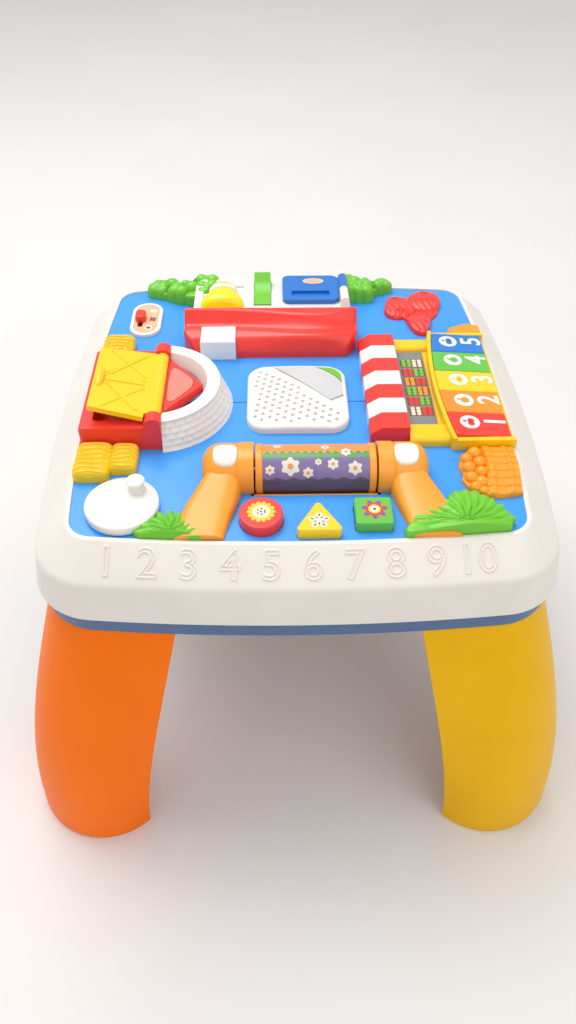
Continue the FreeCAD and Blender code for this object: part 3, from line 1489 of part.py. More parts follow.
keep("rim_frame", make_rim())
well_outer, well_inner = make_battery_well()
keep("base_tray", make_tray().fuse(well_outer).cut(well_inner).removeSplitter())
keep("battery_lid", make_battery_lid())
keep("batteries", make_batteries())
keep("battery_contacts", make_battery_contacts())
keep("top_panel", make_panel())
for leg_name, leg_angle in (("leg_back_right", 45.0), ("leg_back_left", 135.0),
                            ("leg_front_left", 225.0), ("leg_front_right", 315.0)):
    keep(leg_name, make_leg(leg_angle))
for button_name in button_outlines:
    keep(button_name, make_button(button_name))
for key_index in range(1, key_count + 1):
    keep("key_%d" % key_index, make_key(key_index))
keep("key_shaft", make_key_shaft())
keep("market_frame", make_market())
keep("counter_picture", make_counter_picture())
keep("awning", make_awning())
keep("bush_left", make_bush_left())
keep("bush_right", make_bush_right())
keep("gate", make_gate())
keep("gate_caps", make_gate_caps())
keep("picture_drum", make_drum())
keep("drum_ends", make_drum_ends())
keep("drum_axle", make_drum_axle())
keep("tree_left", make_tree(-1))
keep("tree_right", make_tree(1))
keep("house_wall", make_house_wall())
keep("house_door", make_house_door())
keep("light_switch", make_light_switch())
keep("lamp_ring", make_lamp_ring())
keep("porch_lamp", make_lamp())
keep("house_roof", make_roof())
keep("chimney", make_chimney())
keep("barn_base", make_barn_base())
keep("barn_door", make_barn_door())
keep("hinge_pins", Part.makeCompound([make_house_pin(), make_switch_pin(), make_barn_pin()]))
keep("barn_roof", make_barn_roof())
keep("barn_gable", make_gable())
keep("hayloft_window", make_hayloft_window())
keep("hay_bundles", Part.makeCompound([make_hay_front(), make_hay_back()]))
keep("flower_relief", make_flower())
keep("pumpkin", make_pumpkin())
keep("fruit_basket", make_basket())
keep("spinner_disc", make_spinner())
keep("slider_bezel", make_slider_bezel())
keep("slider_plate", make_slider_plate())
keep("slider_knob", make_slider_knob())
make_speaker()
keep("speaker_driver", make_speaker_driver())
keep("circuit_boards", Part.makeCompound([make_button_board(), make_key_board()]))
keep("button_pads", make_pads([(entry[1], entry[2]) for entry in button_outlines.values()]))
keep("key_pads", make_pads([(key_plunger_x, key_centre(index)) for index in range(1, key_count + 1)]))
keep("board_screws", make_screws())

os.makedirs("parts", exist_ok=True)
for node_name, node_shape in made.items():
    node_shape.exportStep("parts/%s.step" % node_name)
    print(node_name, len(node_shape.Solids), round(node_shape.Volume), node_shape.isValid())
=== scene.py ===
import bmesh
import bpy
import math
import numpy as np
from mathutils import Matrix, Vector


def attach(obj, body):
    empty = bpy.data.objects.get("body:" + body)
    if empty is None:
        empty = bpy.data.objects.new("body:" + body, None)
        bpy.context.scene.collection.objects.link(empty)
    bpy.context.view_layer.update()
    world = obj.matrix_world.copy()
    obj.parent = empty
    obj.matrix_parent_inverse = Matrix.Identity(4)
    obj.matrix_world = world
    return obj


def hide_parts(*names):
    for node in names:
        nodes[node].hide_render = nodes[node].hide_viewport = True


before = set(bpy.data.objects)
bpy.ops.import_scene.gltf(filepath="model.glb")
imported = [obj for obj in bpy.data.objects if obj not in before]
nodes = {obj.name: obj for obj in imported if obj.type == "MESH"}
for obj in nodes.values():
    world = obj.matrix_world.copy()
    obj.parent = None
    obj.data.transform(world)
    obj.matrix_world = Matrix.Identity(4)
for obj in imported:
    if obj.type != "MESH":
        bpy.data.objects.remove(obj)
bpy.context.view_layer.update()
print("frame loaded:", len(nodes), "nodes")


# materials: moulded plastic with grain, mottling and fine scuffs
def newGroup(name, inputs, outputs):
    group = bpy.data.node_groups.new(name, "ShaderNodeTree")
    for label, kind, value in inputs:
        socket = group.interface.new_socket(name=label, in_out="INPUT", socket_type=kind)
        socket.default_value = value
    for label, kind in outputs:
        group.interface.new_socket(name=label, in_out="OUTPUT", socket_type=kind)
    return group, group.nodes.new("NodeGroupInput"), group.nodes.new("NodeGroupOutput")


def mathNode(tree, operation, a, b=None):
    node = tree.nodes.new("ShaderNodeMath")
    node.operation = operation
    for slot, value in ((0, a), (1, b)):
        if value is None:
            continue
        if isinstance(value, (int, float)):
            node.inputs[slot].default_value = value
        else:
            tree.links.new(value, node.inputs[slot])
    return node.outputs[0]


def times(tree, a, b):
    return mathNode(tree, "MULTIPLY", a, b)


def plus(tree, a, b):
    return mathNode(tree, "ADD", a, b)


def minus(tree, a, b):
    return mathNode(tree, "SUBTRACT", a, b)


def mixColours(tree, share, a, b):
    node = tree.nodes.new("ShaderNodeMix")
    node.data_type = "RGBA"
    for slot, value in ((0, share), (6, a), (7, b)):
        if isinstance(value, (int, float)):
            node.inputs[slot].default_value = value
        elif isinstance(value, (tuple, list)):
            node.inputs[slot].default_value = tuple(value)[:3] + (1.0,)
        else:
            tree.links.new(value, node.inputs[slot])
    return node.outputs[2]


def noiseNode(tree, vector, scale, detail=2.0, roughness=0.5, distortion=0.0):
    node = tree.nodes.new("ShaderNodeTexNoise")
    tree.links.new(vector, node.inputs["Vector"])
    node.inputs["Scale"].default_value = scale
    node.inputs["Detail"].default_value = detail
    node.inputs["Roughness"].default_value = roughness
    node.inputs["Distortion"].default_value = distortion
    return node.outputs["Fac"]


def rampNode(tree, value, low, high, outLow=0.0, outHigh=1.0):
    node = tree.nodes.new("ShaderNodeMapRange")
    tree.links.new(value, node.inputs["Value"])
    for label, number in (("From Min", low), ("From Max", high), ("To Min", outLow), ("To Max", outHigh)):
        node.inputs[label].default_value = number
    return node.outputs["Result"]


def buildPlasticGroup():
    # moulded plastic: a faint flow mottling in the colour, an orange-peel height and rubbed patches
    group, entry, result = newGroup("mouldedPlastic", (
        ("Tint", "NodeSocketColor", (0.5, 0.5, 0.5, 1.0)), ("Mottle", "NodeSocketFloat", 0.05),
        ("Gloss", "NodeSocketFloat", 0.32), ("Scuff", "NodeSocketFloat", 0.25)),
        (("Colour", "NodeSocketColor"), ("Roughness", "NodeSocketFloat"), ("Height", "NodeSocketFloat")))
    place = group.nodes.new("ShaderNodeTexCoord").outputs["Object"]
    flow = noiseNode(group, place, 14.0, 3.0, 0.55, 0.6)
    speck = noiseNode(group, place, 900.0, 1.0)
    peel = noiseNode(group, place, 520.0, 2.0, 0.5)
    rub = rampNode(group, noiseNode(group, place, 46.0, 4.0, 0.6, 1.2), 0.55, 0.78)
    stretch = group.nodes.new("ShaderNodeMapping")
    stretch.inputs["Rotation"].default_value = (0.2, 0.1, 0.7)
    stretch.inputs["Scale"].default_value = (60.0, 900.0, 300.0)
    group.links.new(place, stretch.inputs["Vector"])
    hair = rampNode(group, noiseNode(group, stretch.outputs["Vector"], 1.0, 3.0, 0.55, 0.4), 0.69, 0.74)
    scuffed = times(group, times(group, hair, rub), entry.outputs["Scuff"])
    shade = times(group, rampNode(group, flow, 0.3, 0.7, -1.0, 1.0), entry.outputs["Mottle"])
    grain = times(group, rampNode(group, speck, 0.3, 0.7, -1.0, 1.0), 0.012)
    level = plus(group, plus(group, shade, grain), 1.0)
    bright = group.nodes.new("ShaderNodeVectorMath")
    bright.operation = "SCALE"
    group.links.new(entry.outputs["Tint"], bright.inputs[0])
    group.links.new(level, bright.inputs["Scale"])
    group.links.new(mixColours(group, scuffed, bright.outputs[0], (0.8, 0.78, 0.75)), result.inputs["Colour"])
    rough = plus(group, entry.outputs["Gloss"], times(group, rub, 0.08))
    rough = plus(group, rough, times(group, scuffed, 0.25))
    group.links.new(rough, result.inputs["Roughness"])
    group.links.new(minus(group, peel, times(group, scuffed, 2.0)),
                    result.inputs["Height"])
    return group


plasticGroup = buildPlasticGroup()

plasticLook = {"peelStrength": 0.10, "peelDistance": 0.0004, "coat": 0.12, "coatRoughness": 0.18, "ior": 1.5}


def plastic(name, tint, gloss=0.34, mottle=0.04, scuff=0.25, paint=None, subsurface=0.0, shine=0.5):
    # paint: a function of the tree that returns a colour socket laid over the tint
    material = bpy.data.materials.new(name)
    material.use_nodes = True
    tree = material.node_tree
    shader = tree.nodes["Principled BSDF"]
    body = tree.nodes.new("ShaderNodeGroup")
    body.node_tree = plasticGroup
    body.inputs["Tint"].default_value = tuple(tint) + (1.0,)
    body.inputs["Mottle"].default_value = mottle
    body.inputs["Gloss"].default_value = gloss
    body.inputs["Scuff"].default_value = scuff
    if paint is not None:
        tree.links.new(paint(tree), body.inputs["Tint"])
    tree.links.new(body.outputs["Colour"], shader.inputs["Base Color"])
    tree.links.new(body.outputs["Roughness"], shader.inputs["Roughness"])
    bump = tree.nodes.new("ShaderNodeBump")
    bump.inputs["Strength"].default_value = plasticLook["peelStrength"]
    bump.inputs["Distance"].default_value = plasticLook["peelDistance"]
    tree.links.new(body.outputs["Height"], bump.inputs["Height"])
    tree.links.new(bump.outputs["Normal"], shader.inputs["Normal"])
    shader.inputs["Specular IOR Level"].default_value = shine
    shader.inputs["Coat Weight"].default_value = plasticLook["coat"] * shine * 2.0
    shader.inputs["Coat Roughness"].default_value = plasticLook["coatRoughness"]
    shader.inputs["IOR"].default_value = plasticLook["ior"]
    shader.inputs["Subsurface Weight"].default_value = subsurface
    shader.inputs["Subsurface Scale"].default_value = 0.002
    material.diffuse_color = tuple(tint) + (1.0,)
    return material


def coordinate(tree, axis):
    # one axis of the place on the object, in millimetres
    split = tree.nodes.new("ShaderNodeSeparateXYZ")
    tree.links.new(tree.nodes.new("ShaderNodeTexCoord").outputs["Object"], split.inputs[0])
    return times(tree, split.outputs[axis], 1000.0)


tints = {
    "sky": (0.045, 0.33, 0.90), "rim": (0.80, 0.755, 0.70), "white": (0.86, 0.83, 0.78),
    "slate": (0.055, 0.13, 0.28),
    "legOrange": (1.0, 0.185, 0.0), "legYellow": (0.86, 0.47, 0.0), "red": (0.86, 0.04, 0.028),
    "yellow": (0.93, 0.60, 0.006), "gate": (0.95, 0.36, 0.03), "leaf": (0.16, 0.56, 0.03),
    "doorBlue": (0.012, 0.17, 0.60), "keyBlue": (0.012, 0.20, 0.66), "keyGreen": (0.13, 0.52, 0.06),
    "keyYellow": (0.93, 0.62, 0.01), "keyOrange": (0.93, 0.28, 0.02), "keyRed": (0.86, 0.045, 0.03),
    "basket": (0.95, 0.34, 0.012), "lamp": (0.96, 0.74, 0.006), "salmon": (0.72, 0.24, 0.19),
    "peach": (0.80, 0.46, 0.28), "grey": (0.62, 0.62, 0.63),
    "board": (0.02, 0.16, 0.05), "pad": (0.6, 0.6, 0.6), "cell": (0.02, 0.02, 0.025),
    "cone": (0.015, 0.015, 0.016),
    "print": (0.45, 0.36, 0.5), "shelf": (0.22, 0.24, 0.24), "cream": (0.86, 0.74, 0.56),
    "brown": (0.16, 0.075, 0.04),
}


def stripedAwning(tree):
    # red and white stripes across the hood
    y = coordinate(tree, "Y")
    step = mathNode(tree, "DIVIDE", minus(tree, y, awningStripes["front"]), awningStripes["width"])
    mask = rampNode(tree, mathNode(tree, "FRACT", times(tree, step, 0.5)), 0.497, 0.503)
    return mixColours(tree, mask, tints["red"], tints["white"])


awningStripes = {"front": -60.0, "width": 17.37}

drumPrint = {"axisY": -94.4, "axisZ": 305.0, "radius": 17.6, "skyEdge": 0.0, "fieldEdge": 6.5,
             "roadEdge": 21.0,
             "sky": (0.90, 0.30, 0.07), "bush": (0.07, 0.30, 0.07), "field": (0.22, 0.16, 0.36),
             "road": (0.12, 0.08, 0.12), "bloom": (0.80, 0.72, 0.62), "core": (0.70, 0.30, 0.10),
             "blooms": ((-5.0, 12.5, 6.6), (7.0, 17.0, 3.8), (24.0, 11.0, 4.0), (39.0, 14.0, 5.0),
                        (-19.0, 15.0, 3.4),
                        (14.0, 9.5, 2.4), (33.0, 1.5, 3.6), (19.0, -4.0, 3.0), (-14.0, -6.0, 3.0))}


def drumPicture(tree):
    # bands round the drum with wavy borders: sky, bushes, field and road, with pale blossoms
    v = drumPrint
    shiftX, shiftY, shiftZ = nodes["picture_drum"].matrix_world.translation * 1000.0
    x = plus(tree, coordinate(tree, "X"), shiftX)
    back = minus(tree, v["axisY"] - shiftY, coordinate(tree, "Y"))
    up = minus(tree, coordinate(tree, "Z"), v["axisZ"] - shiftZ)
    along = times(tree, mathNode(tree, "ARCTAN2", back, up), v["radius"])
    wave = mathNode(tree, "SINE", times(tree, x, 0.55))
    spikes = mathNode(tree, "PINGPONG", x, 2.6)
    colour = v["sky"]
    for edge, look, ripple, size in ((v["skyEdge"], "bush", spikes, 1.1),
                                     (v["fieldEdge"], "field", wave, 1.4),
                                     (v["roadEdge"], "road", wave, 0.8)):
        place = minus(tree, along, times(tree, ripple, size))
        colour = mixColours(tree, rampNode(tree, place, edge - 0.2, edge + 0.2), colour, v[look])
    for bx, by, radius in v["blooms"]:
        dx, dy = minus(tree, x, bx), minus(tree, along, by)
        turn = times(tree, mathNode(tree, "ARCTAN2", dy, dx), 6.0)
        gap = mathNode(tree, "SQRT", plus(tree, times(tree, dx, dx), times(tree, dy, dy)))
        gap = mathNode(tree, "DIVIDE", gap, radius)
        petal = plus(tree, gap, times(tree, mathNode(tree, "COSINE", turn), 0.13))
        colour = mixColours(tree, rampNode(tree, petal, 0.92, 0.86), colour, v["bloom"])
        colour = mixColours(tree, rampNode(tree, gap, 0.34, 0.28), colour, v["core"])
    return colour


# look: name of the material, tint, then the further values of plastic() in their order
lookTable = {
    "rim_frame": ("rimPlastic", "rim", 0.42, 0.03, 0.35),
    "base_tray": ("trayPlastic", "slate", 0.45),
    "battery_lid": ("batteryLidPlastic", "slate", 0.45),
    "top_panel": ("skyPanelPlastic", "sky", 0.30, 0.03, 0.3),
    "orangeLeg": ("orangeLegPlastic", "legOrange", 0.42, 0.03, 0.12, None, 0.0, 0.12),
    "yellowLeg": ("yellowLegPlastic", "legYellow", 0.42, 0.03, 0.12, None, 0.0, 0.12),
    "red": ("redPlastic", "red", 0.30),
    "yellow": ("yellowPlastic", "yellow", 0.32),
    "gate": ("gatePlastic", "gate", 0.34),
    "leaf": ("leafPlastic", "leaf", 0.36, 0.07),
    "white": ("whitePlastic", "white", 0.30),
    "doorBlue": ("blueDoorPlastic", "doorBlue", 0.28),
    "lamp": ("lampPlastic", "lamp", 0.18, 0.02, 0.1, None, 0.15),
    "salmon": ("windowPlastic", "salmon", 0.2),
    "peach": ("sliderPlatePlastic", "peach", 0.5),
    "grey": ("greyPlastic", "grey", 0.35),
    "basket": ("basketPlastic", "basket", 0.34),
    "awning": ("awningPlastic", "red", 0.30, 0.03, 0.25, stripedAwning),
    "key_1": ("redKeyPlastic", "keyRed", 0.30),
    "key_2": ("orangeKeyPlastic", "keyOrange", 0.30),
    "key_3": ("yellowKeyPlastic", "keyYellow", 0.30),
    "key_4": ("greenKeyPlastic", "keyGreen", 0.30),
    "key_5": ("blueKeyPlastic", "keyBlue", 0.30),
    "board": ("circuitBoardResin", "board", 0.4),
    "pad": ("siliconePad", "pad", 0.7),
    "cell": ("cellWrap", "cell", 0.3),
    "cone": ("speakerPaper", "cone", 0.8),
    "print": ("printedSheet", "print", 0.30, 0.02, 0.1, drumPicture),
    "shelf": ("shelfSheet", "shelf", 0.35),
    "cream": ("creamPrint", "cream", 0.35),
    "brown": ("brownPrint", "brown", 0.4),
}
looks = {label: plastic(name, tints[tint], *values) for label, (name, tint, *values) in lookTable.items()}


def brushedSteel(name):
    material = bpy.data.materials.new(name)
    material.use_nodes = True
    tree = material.node_tree
    shader = tree.nodes["Principled BSDF"]
    place = tree.nodes.new("ShaderNodeTexCoord").outputs["Object"]
    grain = noiseNode(tree, place, 700.0, 3.0)
    tree.links.new(mixColours(tree, grain, (0.42, 0.42, 0.44), (0.66, 0.66, 0.68)),
                   shader.inputs["Base Color"])
    tree.links.new(rampNode(tree, grain, 0.3, 0.7, 0.25, 0.45), shader.inputs["Roughness"])
    shader.inputs["Metallic"].default_value = 1.0
    return material


looks["steel"] = brushedSteel("pinSteel")

finish = {
    "rim_frame": "rim_frame",
    "base_tray": "base_tray",
    "battery_lid": "battery_lid",
    "top_panel": "top_panel",
    "orangeLeg": "leg_front_left leg_back_right",
    "yellowLeg": "leg_front_right leg_back_left",
    "red": "house_roof barn_base barn_gable flower_relief slider_knob",
    "key_1": "button_circle key_1",
    "key_3": "button_triangle key_3",
    "key_4": "button_square key_4",
    "yellow": "market_frame barn_door hay_bundles",
    "gate": "gate drum_ends",
    "leaf": "bush_left bush_right tree_left tree_right light_switch speaker_leaf",
    "white": "house_wall chimney barn_roof gate_caps spinner_disc slider_bezel speaker_cover lamp_ring",
    "grey": "speaker_lens",
    "doorBlue": "house_door",
    "lamp": "porch_lamp",
    "salmon": "hayloft_window",
    "peach": "slider_plate",
    "basket": "pumpkin fruit_basket",
    "awning": "awning",
    "key_2": "key_2",
    "key_5": "key_5",
    "board": "circuit_boards",
    "pad": "key_pads button_pads",
    "cell": "batteries",
    "cone": "speaker_driver",
    "steel": "battery_contacts board_screws key_shaft drum_axle hinge_pins",
    "print": "picture_drum",
    "shelf": "counter_picture",
}
dressed = [(nodeName, lookName) for lookName, nodeNames in finish.items() for nodeName in nodeNames.split()]
for nodeName, lookName in dressed:
    slots = nodes[nodeName].data.materials
    slots.clear()
    slots.append(looks[lookName])
print("finishes set on", len(dressed), "nodes")


# mesh helpers: every size below is in millimetres
panelTop = 300.0


def gridQuads(rows, columns):
    # quads between neighbouring rows of a grid whose columns close into a ring
    r = np.arange(rows - 1)[:, None] * columns
    c = np.arange(columns)[None, :]
    n = (c + 1) % columns
    return np.stack([r + c, r + n, r + columns + n, r + columns + c], -1).reshape(-1, 4)


def linked(name, data):
    # an object of the scene with the given data
    piece = bpy.data.objects.new(name, data)
    bpy.context.scene.collection.objects.link(piece)
    return piece


def fullTurn(steps):
    # angles once round, without the repeated last one
    return np.linspace(0.0, 2.0 * math.pi, steps, endpoint=False)


def putMesh(name, points, faces, look, body, replaced=(), smoothAngle=35.0):
    mesh = bpy.data.meshes.new(name)
    mesh.from_pydata((np.asarray(points, float).reshape(-1, 3) * 0.001).tolist(), [],
                     [list(map(int, f)) for f in faces])
    return dress(linked(name, mesh), look, body, replaced, smoothAngle)


def dress(piece, look, body, replaced=(), smoothAngle=35.0):
    # outward normals, shading by angle, finish, and the CAD body that it rides on
    mesh = piece.data
    work = bmesh.new()
    work.from_mesh(mesh)
    bmesh.ops.remove_doubles(work, verts=work.verts, dist=1e-6)
    bmesh.ops.recalc_face_normals(work, faces=work.faces)
    work.to_mesh(mesh)
    work.free()
    mesh.shade_smooth()
    mesh.set_sharp_from_angle(angle=math.radians(smoothAngle))
    mesh.materials.clear()
    mesh.materials.append(looks[look])
    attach(piece, body)
    if replaced:
        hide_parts(*replaced)
    return piece


def closedRings(name, rings, look, body, replaced=(), smoothAngle=35.0):
    # a skin over rings of points (rows, columns, 3), its first and last rings closed by flat faces
    rows, columns = rings.shape[:2]
    faces = list(gridQuads(rows, columns))
    faces.append(np.arange(columns)[::-1])
    faces.append(np.arange(columns) + (rows - 1) * columns)
    return putMesh(name, rings, faces, look, body, replaced, smoothAngle)


def reliefPiece(name, centre, outline, heightAt, look, body, replaced=(), rings=36, edge=1.6, base=panelTop,
                smoothAngle=50.0):
    # a height over a star-shaped outline: points run straight from the centre to the outline,
    # the height follows heightAt(x, y) and drops in a quarter round of the given edge radius
    outline = np.asarray(outline, float)
    centre = np.asarray(centre, float)
    reach = np.linalg.norm(outline - centre, axis=1)
    share = np.linspace(0.02, 1.0, rings) ** 0.8
    plan = centre + (outline - centre)[None] * share[:, None, None]
    inward = (1.0 - share)[:, None] * reach[None]
    drop = edge - np.sqrt(np.clip(edge ** 2 - np.clip(edge - inward, 0.0, edge) ** 2, 0.0, None))
    z = base + np.clip(heightAt(plan[..., 0], plan[..., 1]) - drop, 0.3, None)
    top = np.concatenate([plan, z[..., None]], -1)
    foot = top[-1:].copy()
    foot[..., 2] = base
    return closedRings(name, np.concatenate([top, foot]), look, body, replaced, smoothAngle)


def discUnion(discs, centre, steps=360):
    # the outline of discs that grow together, as the farthest crossing along each direction from the centre
    angle = fullTurn(steps)
    ray = np.stack([np.cos(angle), np.sin(angle)], -1)
    away = np.asarray([d[:2] for d in discs], float) - np.asarray(centre, float)
    along = ray @ away.T
    across = (away ** 2).sum(1)[None] - along ** 2
    radius = np.asarray([d[2] for d in discs], float)[None]
    hit = np.where(across < radius ** 2, along + np.sqrt(np.clip(radius ** 2 - across, 0.0, None)), -1.0)
    return np.asarray(centre, float) + ray * np.clip(hit.max(1), 1.0, None)[:, None]


def domes(x, y, discs, squash=1.0):
    # the highest of many flattened domes at each place, zero outside all of them
    centres = np.asarray(discs, float)
    gap = (x[..., None] - centres[:, 0]) ** 2 + (y[..., None] - centres[:, 1]) ** 2
    lift = np.sqrt(np.clip(centres[:, 2] ** 2 - gap, 0.0, None)) * squash
    return lift.max(-1)


# the table's outline: four bowed sides and four round corners
tableOutline = {"half": 162.0, "sideRadius": 1495.0, "cornerRadius": 19.9, "cornerSteps": 18, "sideSteps": 30}


def outlineCorner():
    # how far the corner centres stand out, and the angle where side and corner arcs meet
    v = tableOutline
    reach = v["half"] - v["sideRadius"]
    gap = v["sideRadius"] - v["cornerRadius"]
    along = (reach + math.sqrt(2.0 * gap * gap - reach * reach)) / 2.0
    return along, math.atan2(along - reach, along)


def outlineFrames():
    # arc centre, arc radius and outward direction at each step round the outline
    v = tableOutline
    along, turn = outlineCorner()
    reach = v["half"] - v["sideRadius"]
    centres, radii, angles = [], [], []
    for quarter in range(4):
        spin = math.pi / 2.0 * quarter
        for (cx, cy), radius, a0, a1, steps in (
                ((along, along), v["cornerRadius"], math.pi / 2.0 - turn, turn, v["cornerSteps"]),
                ((0.0, reach), v["sideRadius"], turn, math.pi - turn, v["sideSteps"])):
            turned = (cx * math.cos(spin) - cy * math.sin(spin), cx * math.sin(spin) + cy * math.cos(spin))
            angles.append(np.linspace(a0, a1, steps, endpoint=False) + spin)
            centres.append(np.tile(turned, (steps, 1)))
            radii.append(np.full(steps, radius))
    angle = np.concatenate(angles)
    return np.concatenate(centres), np.concatenate(radii), np.stack([np.cos(angle), np.sin(angle)], -1)


def rimEdge(x):
    # how far the bowed sides stand out at x
    v = tableOutline
    return np.sqrt(v["sideRadius"] ** 2 - np.square(x)) + v["half"] - v["sideRadius"]


# barn roof: a shingled slope, a smooth band and a plain inner slope
barnRoof = {"x": -104.5, "y": -13.0, "foot": 57.0, "top": 48.6, "height": 22.0, "inner": 38.4,
            "innerFloor": 34.2,
            "floor": 12.0, "wallX": -96.5, "rows": 5, "shingle": 8.6, "lap": 0.9, "slit": 0.55,
            "slitWidth": 0.55, "tilt": 0.25, "jog": 0.11, "slopeSteps": 60, "steps": 420}


def buildBarnRoof():
    # profile from the inner floor over the band and down the slope, turned about the roof's axis;
    # the slope stands out in a sawtooth for each row and sinks at each slit between shingles
    v = barnRoof
    slope = np.linspace(0.0, 1.0, v["slopeSteps"])
    inner = np.stack([np.linspace(v["innerFloor"], v["inner"], 8),
                      np.linspace(v["floor"], v["height"] - 0.8, 8)], -1)
    band = np.array([(v["inner"] + 0.3, v["height"] - 0.2), (v["inner"] + 1.2, v["height"]),
                     (v["top"] - 1.4, v["height"]), (v["top"] - 0.3, v["height"] - 0.4)])
    outer = np.stack([v["top"] + (v["foot"] - v["top"]) * slope, (v["height"] - 1.2) * (1.0 - slope)], -1)
    back = np.array([(v["innerFloor"], 0.0)])
    profile = np.concatenate([inner, band, outer, back])
    start = len(inner) + len(band)
    reach = math.acos((v["wallX"] - v["x"]) / v["foot"])
    angle = np.linspace(-reach - 0.02, reach + 0.02, v["steps"])
    row = np.floor(slope * v["rows"] - 1e-6)
    within = slope * v["rows"] - row
    lap = v["lap"] * within ** 1.5
    along = angle[None] * v["foot"] / v["shingle"] + 0.5 * (row % 2)[:, None]
    along = along + v["jog"] * np.sin(row * 7.0)[:, None]
    nearest = np.abs(along - np.round(along)) * v["shingle"]
    slit = v["slit"] * np.exp(-(nearest / v["slitWidth"]) ** 2)
    tilt = v["tilt"] * np.sin(np.round(along) * 12.9 + row[:, None] * 4.7)
    out = np.zeros((len(profile), len(angle)))
    fade = np.clip((1.0 - slope) * 12.0, 0.0, 1.0) * np.clip(slope * 14.0, 0.0, 1.0)
    raised = lap[:, None] - v["lap"] + tilt * within[:, None] * 0.6 - slit
    out[start:start + v["slopeSteps"]] = raised * fade[:, None]
    radius = profile[:, 0][:, None] + out
    x = v["x"] + radius * np.cos(angle)[None]
    y = v["y"] + radius * np.sin(angle)[None]
    z = panelTop + np.repeat(profile[:, 1][:, None], len(angle), 1)
    x = np.maximum(x, v["wallX"] + 0.02)
    rings = np.stack([x, y, z], -1).transpose(1, 0, 2)
    closedRings("barnRoofShingles", rings, "white", "table", ("barn_roof",), 42.0)


# trees of rounded leaves beside the house
treeShape = {"left": {"wall": -84.1, "side": -1.0}, "right": {"wall": 51.1, "side": 1.0}, "height": 16.4,
             "leaf": 5.4, "seed": 7, "leafCount": 34, "spread": 0.86, "lobeShrink": 1.4, "smallLeaf": 3.6,
             "span": 40.0, "fall": 6.0, "dome": 0.95, "rimGap": 0.5}
treeLobes = {"left": ((1.0, 141.0, 14.5), (14.0, 142.5, 10.5), (25.0, 146.5, 10.0), (35.0, 150.5, 7.0),
                      (-9.0, 149.0, 11.0)),
             "right": ((3.0, 140.5, 9.0), (14.0, 142.0, 9.0), (22.0, 149.0, 8.5), (33.0, 152.5, 7.0),
                       (4.0, 149.0, 9.5))}


def buildTree(label):
    # domes of many leaf sizes over the lobes, on a body that falls away from the house
    v = treeShape
    wall, side = v[label]["wall"], v[label]["side"]
    lobes = [(wall + side * out, y, radius) for out, y, radius in treeLobes[label]]
    maker = np.random.default_rng(v["seed"] + int(side))
    pick = maker.integers(0, len(lobes), v["leafCount"])
    big = np.asarray(lobes)[pick]
    turn = maker.uniform(0.0, 2.0 * np.pi, v["leafCount"])
    away = big[:, 2] * np.sqrt(maker.uniform(0.05, 1.0, v["leafCount"])) * v["spread"]
    leaves = np.stack([big[:, 0] + away * np.cos(turn), big[:, 1] + away * np.sin(turn),
                       maker.uniform(0.75, 1.2, v["leafCount"]) * v["leaf"]], -1)
    outlineDiscs = [(x, y, r - v["lobeShrink"]) for x, y, r in lobes]
    outlineDiscs += [tuple(leaf) for leaf in leaves if leaf[2] > v["smallLeaf"]]
    centre = (wall + side * 12.0, 146.0)
    outline = discUnion(outlineDiscs, centre, 420)
    outline[:, 1] = np.minimum(outline[:, 1], rimEdge(outline[:, 0]) - v["rimGap"])

    def heightAt(x, y):
        far = np.clip((x - wall) * side / v["span"], 0.0, 1.0)
        return v["height"] - v["leaf"] - v["fall"] * far + domes(x, y, leaves, v["dome"])
    reliefPiece("tree_" + label + "Leaves", centre, outline, heightAt, "leaf", "table", ("tree_" + label,),
                60, 2.4)


buildBarnRoof()
buildTree("left")
buildTree("right")
print("barn roof and trees built")


# the rim, the tray's skirt and the legs
def sweptRing(name, profile, look, body, replaced=(), smoothAngle=35.0):
    # a closed profile of offset and height carried round the table's outline
    centre, radius, ray = outlineFrames()
    profile = np.asarray(list(profile) + [profile[0]], float)
    plan = centre[None] + ray[None] * (radius[None] + profile[:, :1])[..., None]
    height = np.repeat(profile[:, 1:2], len(radius), 1)
    rings = np.concatenate([plan, height[..., None]], -1)
    return putMesh(name, rings, gridQuads(*rings.shape[:2]), look, body, replaced, smoothAngle)


def roundedTurn(before, corner, after, reach, steps=8):
    # a curve that replaces a corner: it leaves and joins the two sides at the given reach
    before, corner, after = (np.asarray(p, float) for p in (before, corner, after))
    start = corner + (before - corner) / np.linalg.norm(before - corner) * reach
    end = corner + (after - corner) / np.linalg.norm(after - corner) * reach
    t = np.linspace(0.0, 1.0, steps)[:, None]
    return ((1.0 - t) ** 2 * start + 2.0 * t * (1.0 - t) * corner + t ** 2 * end).tolist()


rim = {"lip": 3.0, "lipTop": 301.5, "bevel": 23.0, "crease": 281.3, "foot": 28.0, "footHeight": 251.8,
       "wall": 2.6, "creaseRound": 3.2, "edgeRound": 1.0, "skirt": 24.0, "skirtFoot": 234.8, "skirtWall": 3.4}


